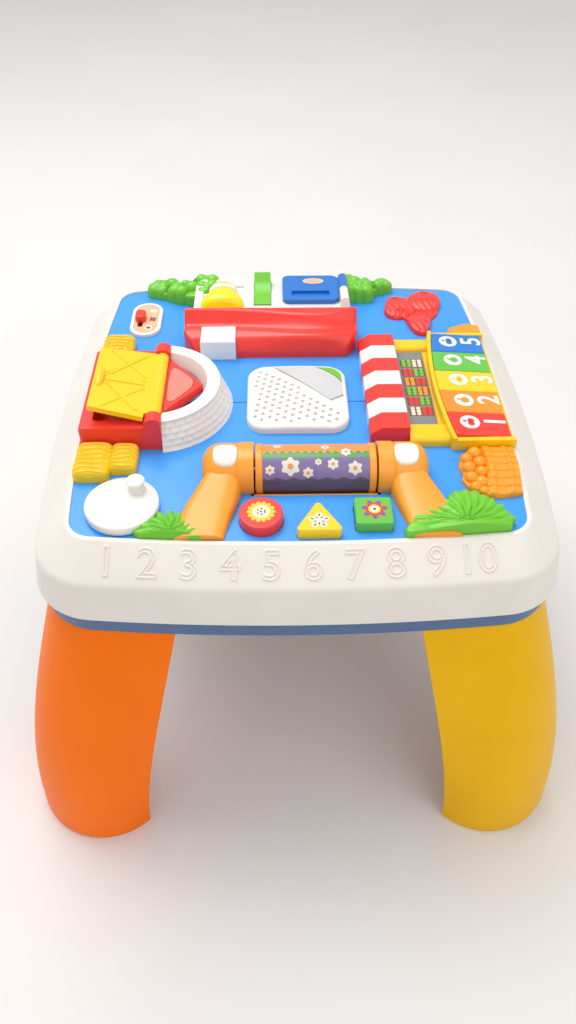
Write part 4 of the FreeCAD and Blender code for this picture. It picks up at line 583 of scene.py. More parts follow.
def buildRim():
    # the lip, the sloping front with its crease, and the apron that widens downwards
    v = rim
    lipInner, lipOuter = (-v["lip"], v["lipTop"]), (0.0, v["lipTop"])
    crease, foot = (v["bevel"], v["crease"]), (v["foot"], v["footHeight"])
    innerFoot = (v["foot"] - v["wall"], v["footHeight"])
    innerCrease = (v["bevel"] - v["wall"], v["crease"] - 2.0)
    profile = [(-v["lip"], 299.5)] + roundedTurn((-v["lip"], 299.5), lipInner, lipOuter, 0.5, 4)
    profile += roundedTurn(lipInner, lipOuter, crease, v["edgeRound"], 5)
    profile += roundedTurn(lipOuter, crease, foot, v["creaseRound"], 9)
    profile += roundedTurn(crease, foot, innerFoot, v["edgeRound"],
                           5) + [innerFoot, innerCrease, (1.0, 296.5)]
    sweptRing("rimShell", profile, "rim_frame", "table", ("rim_frame",))
    outer, inner = v["skirt"], v["skirt"] - v["skirtWall"]
    skirt = [(inner, 252.5), (outer, 252.5)] + roundedTurn((outer, 252.5), (outer, v["skirtFoot"]),
                                                           (inner, v["skirtFoot"]), 2.0,
                                                           6) + [(inner, v["skirtFoot"])]
    sweptRing("traySkirt", skirt, "base_tray", "table")


leg = {"top": 234.8, "topRadius": 41.9, "footCentre": 165.5, "footRadius": 57.5, "footSweep": 87.0,
       "footTail": 1.0,
       "topTail": 55.0, "narrowing": 1.7, "wall": 3.2, "levels": 64, "arcSteps": 44, "tailSteps": 8,
       "band": 8.0, "bandRise": 0.8, "bandShare": 1.4, "bandFade": 1.6, "footRound": 1.2,
       "footRise": 1.5, "lid": 3.0, "lidGap": 0.2}


def legPath(z, inset):
    # one level of a leg at heights z: an arc about the diagonal with a straight tail at each end
    v = leg
    topCentre, turn = outlineCorner()
    topSweep = turn - math.pi / 4.0
    share = np.clip((v["top"] - z) / v["top"], 0.0, 1.0)[:, None]
    flare, narrow = np.sin(math.pi / 2.0 * share), share ** v["narrowing"]
    centre = (topCentre + (v["footCentre"] - topCentre) * flare) * math.sqrt(2.0)
    radius = v["topRadius"] + (v["footRadius"] - v["topRadius"]) * flare
    radius = radius - np.asarray(inset, float).reshape(-1, 1)
    sweep = topSweep + (math.radians(v["footSweep"]) - topSweep) * narrow
    tail = v["topTail"] + (v["footTail"] - v["topTail"]) * narrow
    angle = np.linspace(1.0, -1.0, v["arcSteps"])[None] * sweep
    arc = np.stack([centre + radius * np.cos(angle), radius * np.sin(angle)], -1)
    out = np.linspace(1.0, 0.0, v["tailSteps"], endpoint=False)[None] * tail
    first = np.stack([arc[:, :1, 0] - out * np.sin(sweep), arc[:, :1, 1] + out * np.cos(sweep)], -1)
    last = first[:, ::-1] * np.array([1.0, -1.0])
    return np.concatenate([first, arc, last], 1)


def buildLeg(name, angle, look):
    # the outer skin, the inner skin one wall inside it, and a lid under the tray
    v = leg
    z = np.concatenate([[0.0, 0.5, 1.5], np.linspace(3.0, v["top"], v["levels"])])
    band = v["bandRise"] * np.clip(v["bandShare"] - np.abs(z - v["band"]) / v["bandFade"], 0.0, 1.0)
    grow = band - v["footRound"] * np.clip(1.0 - z / v["footRise"], 0.0, 1.0) ** 2
    outer = legPath(z, -grow)
    inner = legPath(z, np.full(len(z), v["wall"]))[:, ::-1]
    turn = np.array([[math.cos(angle), math.sin(angle)], [-math.sin(angle), math.cos(angle)]])
    rings = np.concatenate([outer, inner], 1) @ turn
    height = np.repeat(z[:, None], rings.shape[1], 1)
    closedRings(name + "Shell", np.concatenate([rings, height[..., None]], -1), look, "table", (name,), 40.0)
    lid = np.repeat(legPath(np.array([v["top"] - v["lid"]]), np.array([1.0])), 2, 0) @ turn
    lidHeight = np.repeat(np.array([[v["top"] - v["lid"]], [v["top"] - v["lidGap"]]]), lid.shape[1], 1)
    closedRings(name + "Lid", np.concatenate([lid, lidHeight[..., None]], -1), look, "table")


legPlaces = {"leg_back_right": (45.0, "orangeLeg"), "leg_back_left": (135.0, "yellowLeg"),
             "leg_front_left": (225.0, "orangeLeg"), "leg_front_right": (315.0, "yellowLeg")}

buildRim()
for legName, (legAngle, legLook) in legPlaces.items():
    buildLeg(legName, math.radians(legAngle), legLook)
print("rim and legs built")


# pieces on the play panel
def densify(corners, steps=8):
    # extra points along every side of a closed polygon
    corners = np.asarray(corners, float)
    t = np.linspace(0.0, 1.0, steps, endpoint=False)[None, :, None]
    return (corners[:, None] * (1.0 - t) + np.roll(corners, -1, 0)[:, None] * t).reshape(-1, 2)


def softened(outline, passes=3):
    # a closed outline with its corners worn round by averaging neighbours
    for _ in range(passes):
        outline = (outline * 2.0 + np.roll(outline, 1, 0) + np.roll(outline, -1, 0)) / 4.0
    return outline


def ball(name, centre, radius, look, body, steps=20):
    # a sphere from rings of latitude
    lat = np.linspace(-math.pi / 2.0 + 0.02, math.pi / 2.0 - 0.02, steps)[:, None]
    lon = fullTurn(2 * steps)[None]
    rings = np.stack([centre[0] + radius * np.cos(lat) * np.cos(lon),
                      centre[1] + radius * np.cos(lat) * np.sin(lon),
                      centre[2] + radius * np.sin(lat) + 0.0 * lon], -1)
    return closedRings(name, rings, look, body, (), 60.0)


def turned(name, x, y, profile, look, body, replaced=(), steps=72):
    # a profile of radius and height turned about an upright axis
    angle = fullTurn(steps)[None]
    profile = np.asarray(profile, float)
    radius, height = profile[:, :1], profile[:, 1:]
    rings = np.stack([x + radius * np.cos(angle), y + radius * np.sin(angle), height + 0.0 * angle], -1)
    return closedRings(name, rings, look, body, replaced, 35.0)


roof = {"left": -89.5, "right": 54.0, "front": 48.4, "back": 84.5, "height": 26.4, "crest": 66.0,
        "crestSwing": 12.0,
        "lip": 81.5, "lipSwing": 8.5, "power": 2.5, "taperX": 13.0, "taperY": 15.0, "stations": 120,
        "notchLeft": -75.6, "notchRight": -46.2, "notchBack": 69.3, "crestHeight": 17.2,
        "crestLift": 2.0, "profileSteps": 70, "passes": 14, "endReach": 2.5, "endDrop": 1.6}


def buildRoof():
    # a front roll and a lip with a wavy hollow between them; the front line tapers at both ends
    # and steps back round the chimney
    v = roof
    x = np.linspace(v["left"] + 0.1, v["right"] - 0.1, v["stations"])
    x = np.sort(np.concatenate([x, [v["notchLeft"] - 0.01, v["notchLeft"], v["notchRight"],
                                    v["notchRight"] + 0.01]]))
    share = (x - v["left"]) / (v["right"] - v["left"])
    swing = np.sin(math.pi * share ** v["power"])
    crest, lip = v["crest"] - v["crestSwing"] * swing, v["lip"] - v["lipSwing"] * swing
    crestHeight = v["crestHeight"] + v["crestLift"] * swing
    near = np.minimum(x - v["left"], v["right"] - x)
    front = v["front"] + v["taperY"] * (1.0 - np.sin(np.clip(near / v["taperX"], 0.0, 1.0) * math.pi / 2.0))
    notched = (x >= v["notchLeft"]) & (x <= v["notchRight"])
    t = np.linspace(0.0, 1.0, v["profileSteps"])
    rings = []
    for i in range(len(x)):
        knotsY = [v["front"], v["front"] + 0.3, v["front"] + 0.42 * (crest[i] - v["front"]), crest[i],
                  crest[i] + 0.4 * (lip[i] - crest[i]), lip[i] - 4.0, lip[i] - 0.5, v["back"] - 1.0,
                  v["back"]]
        knotsZ = [2.0, 6.5, crestHeight[i] * 0.87, crestHeight[i], crestHeight[i] - 1.2, v["height"] * 0.84,
                  v["height"], v["height"] - 0.3, v["height"] - 2.0]
        knots = np.linspace(0.0, 1.0, len(knotsY))
        soft = np.stack([np.interp(t, knots, knotsY), np.interp(t, knots, knotsZ)], -1)
        for _ in range(v["passes"]):
            soft[1:-1] = (soft[:-2] + soft[2:] + 2.0 * soft[1:-1]) / 4.0
        start = v["notchBack"] if notched[i] else front[i]
        floorShare = np.clip((soft[:, 0] - v["front"]) / max(start - v["front"], 1e-3), 0.0, 1.0)
        z = np.where(soft[:, 0] < start, np.interp(start, soft[:, 0], soft[:, 1]) * floorShare, soft[:, 1])
        y = np.maximum(soft[:, 0], start)
        end = np.clip(near[i] / v["endReach"], 0.0, 1.0)
        z = z - v["endDrop"] * (1.0 - math.sqrt(1.0 - (1.0 - end) ** 2))
        ring = np.stack([np.full(len(y), x[i]), y, panelTop + np.maximum(z, 0.2)], -1)
        rings.append(np.concatenate([[[x[i], start, panelTop]], ring, [[x[i], v["back"], panelTop]]]))
    closedRings("waveRoof", np.asarray(rings), "red", "table", ("house_roof",), 50.0)


bushes = {"left": {"x": -84.5, "half": 25.0, "depth": 24.5, "height": 9.0, "leaves": 9, "node": "bush_left"},
          "right": {"x": 108.5, "half": 38.0, "depth": 37.0, "height": 12.0, "leaves": 15,
                    "node": "bush_right"}}
bushShape = {"rimGap": 3.3, "fall": 0.42, "ridge": 1.9, "smallRidge": 0.9, "swirl": 0.35}
rightBush = ((-38.5, 0.0), (30.5, 0.0), (31.5, 4.5), (35.0, 7.5), (29.5, 13.5), (29.0, 19.5), (23.5, 22.0),
             (23.0, 27.0), (17.5, 30.0), (13.5, 34.5), (7.0, 37.0), (0.5, 36.5), (-5.5, 34.0), (-9.0, 27.0),
             (-13.0, 32.5), (-16.0, 21.5), (-23.0, 26.0), (-24.5, 16.5), (-31.5, 15.5), (-35.5, 8.5),
             (-40.0, 4.0))


def fanOutline(v):
    # pointed leaves in a half ellipse above a straight foot
    share = np.linspace(0.0, 1.0, v["leaves"] * 12)
    saw = 1.0 - np.abs(2.0 * np.mod(share * v["leaves"], 1.0) - 1.0)
    reach = 0.78 + 0.22 * saw ** 0.8
    angle = math.pi * share
    return np.stack([v["half"] * reach * np.cos(angle), v["depth"] * reach * np.sin(angle)], -1)


def buildBush(label, corners):
    # a fan of leaves that rise from the rim, each with a ridge along its middle and a groove beside it
    v, shape = bushes[label], bushShape
    base = -float(rimEdge(abs(v["x"]) + v["half"])) + shape["rimGap"]
    outline = np.asarray(corners, float) + np.array([v["x"], base])
    outline[:, 1] -= rimEdge(outline[:, 0]) - rimEdge(abs(v["x"]) + v["half"])
    centre = (v["x"], base + 2.0)

    def heightAt(x, y):
        angle = np.arctan2(np.maximum(y - base, 0.0) / v["depth"], (x - v["x"]) / v["half"])
        share = np.clip(np.hypot((x - v["x"]) / v["half"], (y - base) / v["depth"]), 0.0, 1.2)
        wave = np.abs(2.0 * np.mod(angle / math.pi * v["leaves"] + shape["swirl"] * np.sin(share * 5.0),
                                   1.0) - 1.0)
        second = np.abs(2.0 * np.mod(angle / math.pi * v["leaves"] * 1.5 + 0.5, 1.0) - 1.0)
        large = shape["ridge"] * wave ** 1.6 * np.clip(share * 2.0, 0.0, 1.0)
        small = shape["smallRidge"] * second ** 2 * np.clip(1.0 - share, 0.0, 1.0)
        return v["height"] * (1.0 - shape["fall"] * share ** 1.3) - (large + small)
    reliefPiece(label + "BushLeaves", centre, outline, heightAt, "leaf", "table", (v["node"],), 40, 1.8,
                panelTop, 40.0)


hay = {"groove": 2.6, "endDrop": 2.2, "endReach": 7.0, "fibre": 0.35, "rimGap": 4.5}
hayBales = (("hayLarge", (-157.0, -131.0, -101.0, -66.5), 9.5, 7),
            ("haySmall", (-133.0, -113.0, -93.5, -66.5), 8.4, 6),
            ("hayBack", (-157.0, -130.5, 30.5, 72.5), 8.6, 9))


def buildHay():
    # round strands side by side along X inside a soft-cornered outline, lower at both ends
    for index, (name, (x0, x1, y0, y1), height, strands) in enumerate(hayBales):
        outline = softened(densify([(x0, y0), (x1, y0), (x1, y1), (x0, y1)], 24), 16)
        outline[:, 0] = np.maximum(outline[:, 0], -float(rimEdge(0.0)) + hay["rimGap"])

        def heightAt(x, y):
            step = (y - y0) / (y1 - y0) * strands + 0.12 * np.sin(x * 0.35 + y * 0.2)
            groove = np.abs(np.mod(step, 1.0) - 0.5) * 2.0
            end = np.clip(np.minimum(x - x0, x1 - x) / hay["endReach"], 0.0, 1.0)
            return (height - hay["groove"] * groove ** 2.4 - hay["endDrop"] * (1.0 - end) ** 2
                    + hay["fibre"] * np.sin(step * 19.0))
        reliefPiece(name, ((x0 + x1) / 2.0, (y0 + y1) / 2.0), outline, heightAt, "yellow", "table",
                    ("hay_bundles",) if index == 0 else (), 60, 2.4, panelTop, 45.0)


basket = {"outline": ((133.0, -70.0), (156.9, -70.0), (156.6, -90.0), (153.5, -118.0), (139.0, -121.0),
                      (128.5, -120.5),
                      (132.0, -101.5), (133.4, -86.8)), "centre": (144.0, -95.0), "height": 6.6,
                      "stave": 7.2, "mouth": -70.0,
          "staveGap": 1.3, "arch": 0.004, "hoopRise": 1.1, "hoopBow": 0.0022, "hoopMiddle": -84.0,
          "hoopEdge": 6.0, "bedCentre": (124.0, -95.0), "bedHeight": 3.2, "fruitLift": 3.0,
          "hoops": ((136.4, 4.5), (149.5, 3.0)),
          "bed": ((134.0, -70.5), (123.5, -73.0), (116.5, -82.0), (114.5, -90.5),
          (116.5, -98.0), (114.5, -104.0), (118.0, -112.0), (123.0, -118.0), (129.0, -120.0),
          (133.0, -100.0)),
          "fruit": ((127.5, -77.5, 5.2), (120.8, -83.5, 4.6), (129.3, -87.5, 5.0), (121.0, -93.0, 5.2),
                    (129.0, -97.3, 4.8),
                    (121.0, -103.0, 5.0), (127.3, -107.5, 5.0), (122.5, -112.3, 4.4), (127.6, -116.0, 3.8))}


def buildBasket():
    # a lying barrel with staves and two hoops, and round fruit that spills from its mouth
    v = basket

    def heightAt(x, y):
        gap = np.abs(np.mod((y - v["mouth"]) / v["stave"], 1.0) - 0.5) * 2.0
        height = v["height"] - v["staveGap"] * gap ** 8 - v["arch"] * (y - v["centre"][1]) ** 2
        for place, width in v["hoops"]:
            bend = place - v["hoopBow"] * (y - v["hoopMiddle"]) ** 2
            height = height + v["hoopRise"] / (1.0 + np.exp((np.abs(x - bend) - width / 2.0) * v["hoopEdge"]))
        return height
    reliefPiece("basketBarrel", v["centre"], densify(v["outline"], 26), heightAt, "basket", "table",
                ("fruit_basket",), 70, 2.0, panelTop, 40.0)
    reliefPiece("basketBed", v["bedCentre"], densify(v["bed"], 6), lambda x, y: v["bedHeight"] + 0.0 * x,
                "basket", "table")
    for index, (x, y, radius) in enumerate(v["fruit"]):
        ball("basketFruit%d" % (index + 1), (x, y, panelTop + v["fruitLift"]), radius, "basket", "table")


flower = {"outline": ((82.0, 114.0), (85.0, 106.0), (92.5, 103.0), (99.0, 104.5), (101.5, 91.5),
                      (105.5, 80.5),
                      (114.0, 77.0), (119.0, 88.0), (122.0, 102.0), (129.0, 110.0), (134.0, 128.5),
                      (132.5, 141.0),
                      (122.0, 147.0), (112.0, 145.0), (105.0, 136.0), (100.0, 140.0), (91.0, 140.0),
                      (86.0, 131.0)),
          "centre": (108.0, 118.0), "foot": 2.4, "dome": 0.24, "dip": 2.6, "dipRadius": 3.0, "vein": 0.5,
          "sockets": ((93.5, 131.0), (121.0, 141.0), (97.0, 112.0)),
          "heads": ((94.5, 121.0, 17.0), (121.0, 130.0, 17.0), (111.0, 93.0, 15.0))}


def buildFlower():
    # three rounded heads that grow together, with a dip for each socket and wavy veins
    v = flower

    def heightAt(x, y):
        height = v["foot"] + domes(x, y, v["heads"], v["dome"])
        for px, py in v["sockets"]:
            height = height - v["dip"] * np.exp(-(np.hypot(x - px, y - py) / v["dipRadius"]) ** 6)
        return height - v["vein"] * np.cos(x * 0.55 + 1.2 * np.sin(y * 0.21)) ** 8
    reliefPiece("redFlower", v["centre"], softened(densify(v["outline"], 14), 10), heightAt, "red", "table",
                ("flower_relief",), 90, 1.6, panelTop, 50.0)


speaker = {"x": 2.3, "y": -10.5, "halfX": 38.7, "halfY": 39.2, "corner": 15.0, "height": 8.5, "crown": 400.0,
           "edge": 2.6,
           "cells": 240, "pitch": 6.3, "slant": -38.0, "hole": 1.55, "holeDepth": 2.6, "margin": 6.0,
           "fieldEdge": 8.0,
           "inlayDrop": 1.6, "inlayEdge": 16.7, "inlayMargin": 3.4, "fieldRound": 9.0, "rowShare": 0.92}


def buildSpeaker():
    # a crowned square on a fine grid; grid points near a hole's edge are pulled onto its circle,
    # and those inside it sink; the corner for the lens and the leaf lies lower
    v = speaker
    u = np.linspace(-v["halfX"], v["halfX"], v["cells"])
    w = np.linspace(-v["halfY"], v["halfY"], v["cells"])
    x, y = (a.copy() for a in np.meshgrid(u, w, indexing="ij"))
    inside = np.minimum(v["halfX"] - np.abs(x), v["halfY"] - np.abs(y))
    cx, cy = np.abs(x) - (v["halfX"] - v["corner"]), np.abs(y) - (v["halfY"] - v["corner"])
    far = (cx > 0) & (cy > 0)
    pull = np.where(far, np.maximum(cx, cy) / np.maximum(np.hypot(cx, cy), 1e-9), 1.0)
    x = np.where(far, np.sign(x) * (v["halfX"] - v["corner"] + cx * pull), x)
    y = np.where(far, np.sign(y) * (v["halfY"] - v["corner"] + cy * pull), y)
    step = 2.0 * v["halfX"] / v["cells"]
    slant = math.radians(v["slant"])
    reach = int(2.0 * v["halfX"] / v["pitch"])
    line = np.arange(-reach, reach + 1)
    column, row = (a.ravel().astype(float) for a in np.meshgrid(line, line))
    along, across = v["pitch"] * (column + 0.5 * np.mod(row, 2.0)), v["pitch"] * row * v["rowShare"]
    hx = along * math.cos(slant) - across * math.sin(slant)
    hy = along * math.sin(slant) + across * math.cos(slant)
    edgeX, edgeY = v["halfX"] - v["margin"], v["halfY"] - v["margin"]
    cornerGap = np.hypot(np.maximum(np.abs(hx) - edgeX + v["fieldRound"], 0.0),
                         np.maximum(np.abs(hy) - edgeY + v["fieldRound"], 0.0))
    keep = (cornerGap < v["fieldRound"]) & (hx + hy < v["fieldEdge"])
    sink = np.zeros_like(x)
    for px, py in zip(hx[keep], hy[keep]):
        dx, dy = x - px, y - py
        gap = np.hypot(dx, dy)
        rimmed = np.abs(gap - v["hole"]) < 0.62 * step
        scale = np.where(rimmed, v["hole"] / np.maximum(gap, 1e-9), 1.0)
        x, y = px + dx * scale, py + dy * scale
        sink = np.where((gap < v["hole"]) & ~rimmed, v["holeDepth"], sink)
    corner = (x + y > v["inlayEdge"]) & (inside > v["inlayMargin"])
    sink = np.where(corner, np.maximum(sink, v["inlayDrop"]), sink)
    edgeDrop = v["edge"] - np.sqrt(np.clip(v["edge"] ** 2 - np.clip(v["edge"] - inside, 0.0, None) ** 2, 0.0,
                                           None))
    z = panelTop + v["height"] - (x ** 2 + y ** 2) / (2.0 * v["crown"]) - edgeDrop - sink
    n = v["cells"]
    top = np.stack([v["x"] + x, v["y"] + y, z], -1).reshape(-1, 3)
    border = np.concatenate([np.arange(n) * n, (n - 1) * n + np.arange(1, n),
                             np.arange(n - 2, -1, -1) * n + n - 1, np.arange(n - 2, 0, -1)])
    foot = top[border].copy()
    foot[:, 2] = panelTop
    index = np.arange(n * n).reshape(n, n)
    quads = np.stack([index[:-1, :-1], index[1:, :-1], index[1:, 1:], index[:-1, 1:]], -1).reshape(-1, 4)
    ring = np.arange(len(border))
    after = np.roll(ring, -1)
    walls = np.stack([border[ring], n * n + ring, n * n + after, border[after]], -1)
    putMesh("speakerGrille", np.concatenate([top, foot]), list(quads) + list(walls) + [n * n + ring[::-1]],
            "white", "table", ("speaker_cover",), 50.0)


spinner = {"x": -118.3, "y": -127.4, "radius": 25.1, "top": 308.0, "foot": 300.6, "knobX": 9.0, "knobY": 11.5}


def buildSpinner():
    # a shallow dome with a raised ring, and a finger knob that flares to a flat top
    v = spinner
    top = v["top"]
    turned("spinnerDisc", v["x"], v["y"],
           [(23.6, v["foot"]), (24.8, v["foot"] + 0.4), (v["radius"], top - 3.2),
           (24.8, top - 1.6), (23.8, top - 0.7), (22.3, top - 0.4), (21.9, top - 0.9), (21.2, top - 0.9),
           (20.6, top - 0.2),
           (14.0, top + 0.15), (6.0, top + 0.3), (0.3, top + 0.35)], "white", "spinner", ("spinner_disc",),
           96)
    x, y = v["x"] + v["knobX"], v["y"] + v["knobY"]
    turned("spinnerKnob", x, y,
           [(6.6, top - 1.0), (6.3, top + 0.4), (5.2, top + 1.6), (4.9, top + 4.0), (5.5, top + 5.8),
           (6.3, top + 6.8), (6.5, top + 7.8), (6.0, top + 8.7), (4.5, top + 9.0), (0.3, top + 9.0)],
           "white", "spinner", (), 48)


buildRoof()
buildBush("left", fanOutline(bushes["left"]))
buildBush("right", densify(rightBush, 7))
buildHay()
buildBasket()
buildFlower()
buildSpeaker()
buildSpinner()
print("roof, plants, hay, basket, speaker and spinner built")


# prints, digits and small shapes laid on a surface
def surfaceHeight(node, x, y):
    # height of a node's upper surface at a place, in millimetres
    piece = nodes[node]
    inverse = piece.matrix_world.inverted()
    start = inverse @ Vector((x * 0.001, y * 0.001, 1.0))
    found, place, _, _ = piece.ray_cast(start, inverse.to_3x3() @ Vector((0.0, 0.0, -1.0)))
    return (piece.matrix_world @ place).z * 1000.0 if found else panelTop


east, north = (1.0, 0.0, 0.0), (0.0, 1.0, 0.0)


def circle(x, y, radius, steps=28, squash=1.0):
    angle = fullTurn(steps)
    return np.stack([x + radius * np.cos(angle), y + radius * squash * np.sin(angle)], -1)


def petals(x, y, count, near, far, wide, start=0.0):
    # pointed ovals round a middle
    t = fullTurn(14)
    along, across = (near + far) / 2.0 - (far - near) / 2.0 * np.cos(t), wide * np.sin(t)
    shapes = []
    for k in range(count):
        a = start + 2.0 * math.pi * k / count
        shapes.append(np.stack([x + along * math.cos(a) - across * math.sin(a),
                                y + along * math.sin(a) + across * math.cos(a)], -1))
    return shapes


def stamp(name, origin, u, v, polygons, look, body, high=0.15, low=-0.4, replaced=()):
    # thin plates with the given outlines in the plane of u and v
    origin, u, v = (np.asarray(a, float) for a in (origin, u, v))
    normal = np.cross(u, v)
    points, faces = [], []
    for polygon in polygons:
        flat = np.asarray(polygon, float)
        start, count = len(points), len(flat)
        plane = origin + flat[:, :1] * u + flat[:, 1:] * v
        points += list(plane + normal * low) + list(plane + normal * high)
        ring = np.arange(count)
        after = np.roll(ring, -1)
        faces += [start + count + ring, start + ring[::-1]]
        faces += list(start + np.stack([ring, after, count + after, count + ring], -1))
    return putMesh(name, np.asarray(points), faces, look, body, replaced, 30.0)


def lettering(name, text, size, origin, u, v, look, body, thick=0.15, tube=0.0):
    # built-in letters as a mesh in the plane of u and v: raised plates, or tubes along their outline
    curve = bpy.data.curves.new(name, "FONT")
    curve.body, curve.size = text, size * 0.001
    curve.align_x, curve.align_y = "CENTER", "CENTER"
    curve.resolution_u = 5
    curve.offset = 0.0 if tube else size * 0.000018
    if tube:
        curve.fill_mode = "NONE"
        curve.bevel_depth, curve.bevel_resolution = tube * 0.001, 2
    else:
        curve.extrude = thick * 0.001
    holder = linked(name + "Curve", curve)
    bpy.context.view_layer.update()
    mesh = bpy.data.meshes.new_from_object(holder.evaluated_get(bpy.context.evaluated_depsgraph_get()))
    bpy.data.objects.remove(holder)
    origin, u, v = Vector(origin) * 0.001, Vector(u), Vector(v)
    mesh.transform(Matrix.Translation(origin) @ Matrix((u, v, u.cross(v))).transposed().to_4x4())
    return dress(linked(name, mesh), look, body, (), 40.0)


numerals = {"count": 10, "first": -124.7, "pitch": 26.6, "offset": 10.8, "size": 27.5, "tube": 0.8}


def buildNumerals():
    # 1 to 10 as raised outlines on the sloping front of the rim, turned with its bow
    v = numerals
    run, drop = rim["bevel"], rim["lipTop"] - rim["crease"]
    slope = math.hypot(run, drop)
    for k in range(v["count"]):
        x = v["first"] + v["pitch"] * k
        turn = x / tableOutline["sideRadius"]
        out = np.array([math.sin(turn), -math.cos(turn), 0.0])
        up = (-out * run + np.array([0.0, 0.0, drop])) / slope
        place = np.array([x, -float(rimEdge(x)), rim["lipTop"]]) + out * v["offset"]
        place[2] -= v["offset"] * drop / run
        lettering("rimNumeral%d" % (k + 1), str(k + 1), v["size"], place,
                  (math.cos(turn), math.sin(turn), 0.0), up, "rim_frame", "table", 0.0, v["tube"])


keyPrint = {"pitch": 26.2, "digitX": 147.7, "iconX": 128.0, "shift": 3.0, "innerX": 111.0, "innerTop": 312.0,
            "fall": 0.0661, "size": 23.0, "disc": 7.4, "signShift": 1.5}


def buildKeyPrints():
    # a white digit and a round fruit sign on each sloping key
    v = keyPrint
    tilt = math.atan(v["fall"])
    along = (-math.cos(tilt), 0.0, math.sin(tilt))
    for k in range(1, 6):
        y = (k - 3) * v["pitch"]
        key = "key_%d" % k
        for x, label in ((v["digitX"], "Digit"), (v["iconX"], "Sign")):
            place = (x, y + (v["shift"] if label == "Digit" else v["signShift"]),
                     v["innerTop"] - v["fall"] * (x - v["innerX"]))
            if label == "Digit":
                lettering("keyDigit%d" % k, str(k), v["size"], place, (0.0, 1.0, 0.0), along, "white", key,
                          0.18)
                continue
            stamp("keySign%d" % k, place, (0.0, 1.0, 0.0), along, [circle(0.0, 0.0, v["disc"])], "white",
                  key, 0.16)
            fruit = [circle(-1.7, -0.8, 2.6), circle(1.7, -0.8, 2.6)] if k % 2 else [circle(0.0, -0.8, 3.4)]
            stamp("keyFruit%d" % k, place, (0.0, 1.0, 0.0), along,
                  fruit + petals(0.0, 2.0, 1, 0.4, 3.6, 1.0, 1.1), key, key, 0.24)


buttonPrint = {"circle": (-25.0, -139.0), "triangle": (13.0, -147.0), "square": (49.5, -137.8), "top": 308.0}


def buildButtonPrints():
    # a sunflower on the circle, a pale blossom on the triangle, a bright leaf on the square
    v = buttonPrint
    for label, rows in (
            ("circle", (("sun", "yellow", petals(0, 0.5, 14, 4.6, 9.6, 1.7), 0.12),
                        ("core", "cream", [circle(0, 0.5, 6.0)], 0.2),
                        ("seeds", "brown", [circle(2.6 * math.cos(a), 0.5 + 2.6 * math.sin(a), 0.7, 10)
                                            for a in np.linspace(0.3, 6.0, 6)] + [circle(0, 0.5, 0.8, 10)],
                                            0.26))),
            ("triangle", (("blossom", "cream", petals(0, 0, 5, 0.8, 7.4, 2.6, 0.3), 0.12),
                          ("stripes", "brown", petals(0, 0, 5, 3.4, 6.4, 0.5, 0.3), 0.2),
                          ("eye", "white", [circle(0, 0, 1.9)], 0.28))),
            ("square", (("plume", "red", petals(0.5, 0.5, 7, 0.5, 9.2, 2.3, 0.2), 0.12),
                        ("tips", "doorBlue", petals(0.5, 0.5, 7, 5.2, 8.6, 1.1, 0.2), 0.2),
                        ("ring", "yellow", [circle(0.5, 0.5, 4.2)], 0.26),
                        ("eye", "white", [circle(0.5, 0.5, 3.0)], 0.32),
                        ("dot", "brown", [circle(0.5, 0.5, 1.1)], 0.38)))):
        x, y = v[label]
        for part, look, shapes, high in rows:
            stamp(label + part.capitalize(), (x, y, v["top"]), east, north, shapes, look, "button_" + label,
                  high)


def buildSmallPrints():
    # signs beside the slider, the badge on the blue door and the fruit shelf on the stall's counter
    plate = surfaceHeight("slider_plate", -121.0, 103.0)
    for name, place, shapes, look, high in (
            ("sliderMoon", (-120.5, 117.0), [circle(0, 0, 3.2)], "cream", 0.12),
            ("sliderLeaf", (-120.5, 104.0), petals(0, 0, 4, 0.4, 3.6, 1.3, 0.6), "brown", 0.12),
            ("sliderRing", (-123.0, 90.5), [circle(0, 0, 3.4)], "cream", 0.12),
            ("sliderRingCore", (-123.0, 90.5), [circle(0, 0, 1.8)], "brown", 0.2)):
        stamp(name, place + (plate,), east, north, shapes, look, "table", high)
    door = surfaceHeight("house_door", 20.0, 140.0)
    for name, radius, squash, look, high in (("doorBadgeEdge", 9.2, 0.5, "cream", 0.35),
                                             ("doorBadge", 7.9, 0.46, "peach", 0.5)):
        stamp(name, (20.0, 139.0, door), east, north, [circle(0, 0, radius, 40, squash)], look, "house_door",
              high)
    shelf = surfaceHeight("counter_picture", 96.0, 2.0)
    boxes, fruit = [], {"red": [], "leaf": [], "basket": [], "cream": []}
    kinds = ("cream", "red", "leaf", "basket", "red", "leaf")
    for k in range(6):
        y = -28.5 + 12.4 * k
        boxes.append([(87.0, y - 5.4), (105.5, y - 5.4), (105.5, y + 5.0), (87.0, y + 5.0)])
        for i in range(4):
            for j in range(3):
                fruit[kinds[(k + (i > 1)) % 6]].append(circle(89.8 + 4.3 * i, y - 3.4 + 3.3 * j, 1.75, 14))
    stamp("shelfBoxes", (0.0, 0.0, shelf), east, north, boxes, "brown", "table", 0.12)
    for look, discs in fruit.items():
        stamp("shelf" + look.capitalize(), (0.0, 0.0, shelf), east, north, discs, look, "table", 0.3)


gate = {"centre": 12.5, "axisY": -94.4, "axisZ": 305.0, "radius": 19.0, "outer": -66.0, "inner": -30.1,
        "round": 13.0,
        "legOuter": (3.0, 2.5, -4.5, -11.0, -14.5, -15.5), "legInner": (27.0, 28.5, 27.0, 23.5, 19.5, 16.5),
        "legHeight": (19.0, 17.5, 13.8, 10.4, 7.6, 5.6), "crease": -41.5, "capRadius": 19.9,
        "wellRadius": 19.3,
        "wellWall": 2.0, "wellTop": 299.4, "capBase": 316.0, "creaseDepth": 0.8, "creaseWidth": 0.7,
        "creaseStep": 0.5, "armStart": -91.0, "armMiddle": 80.0, "rimGap": 3.0, "armPower": 0.62}


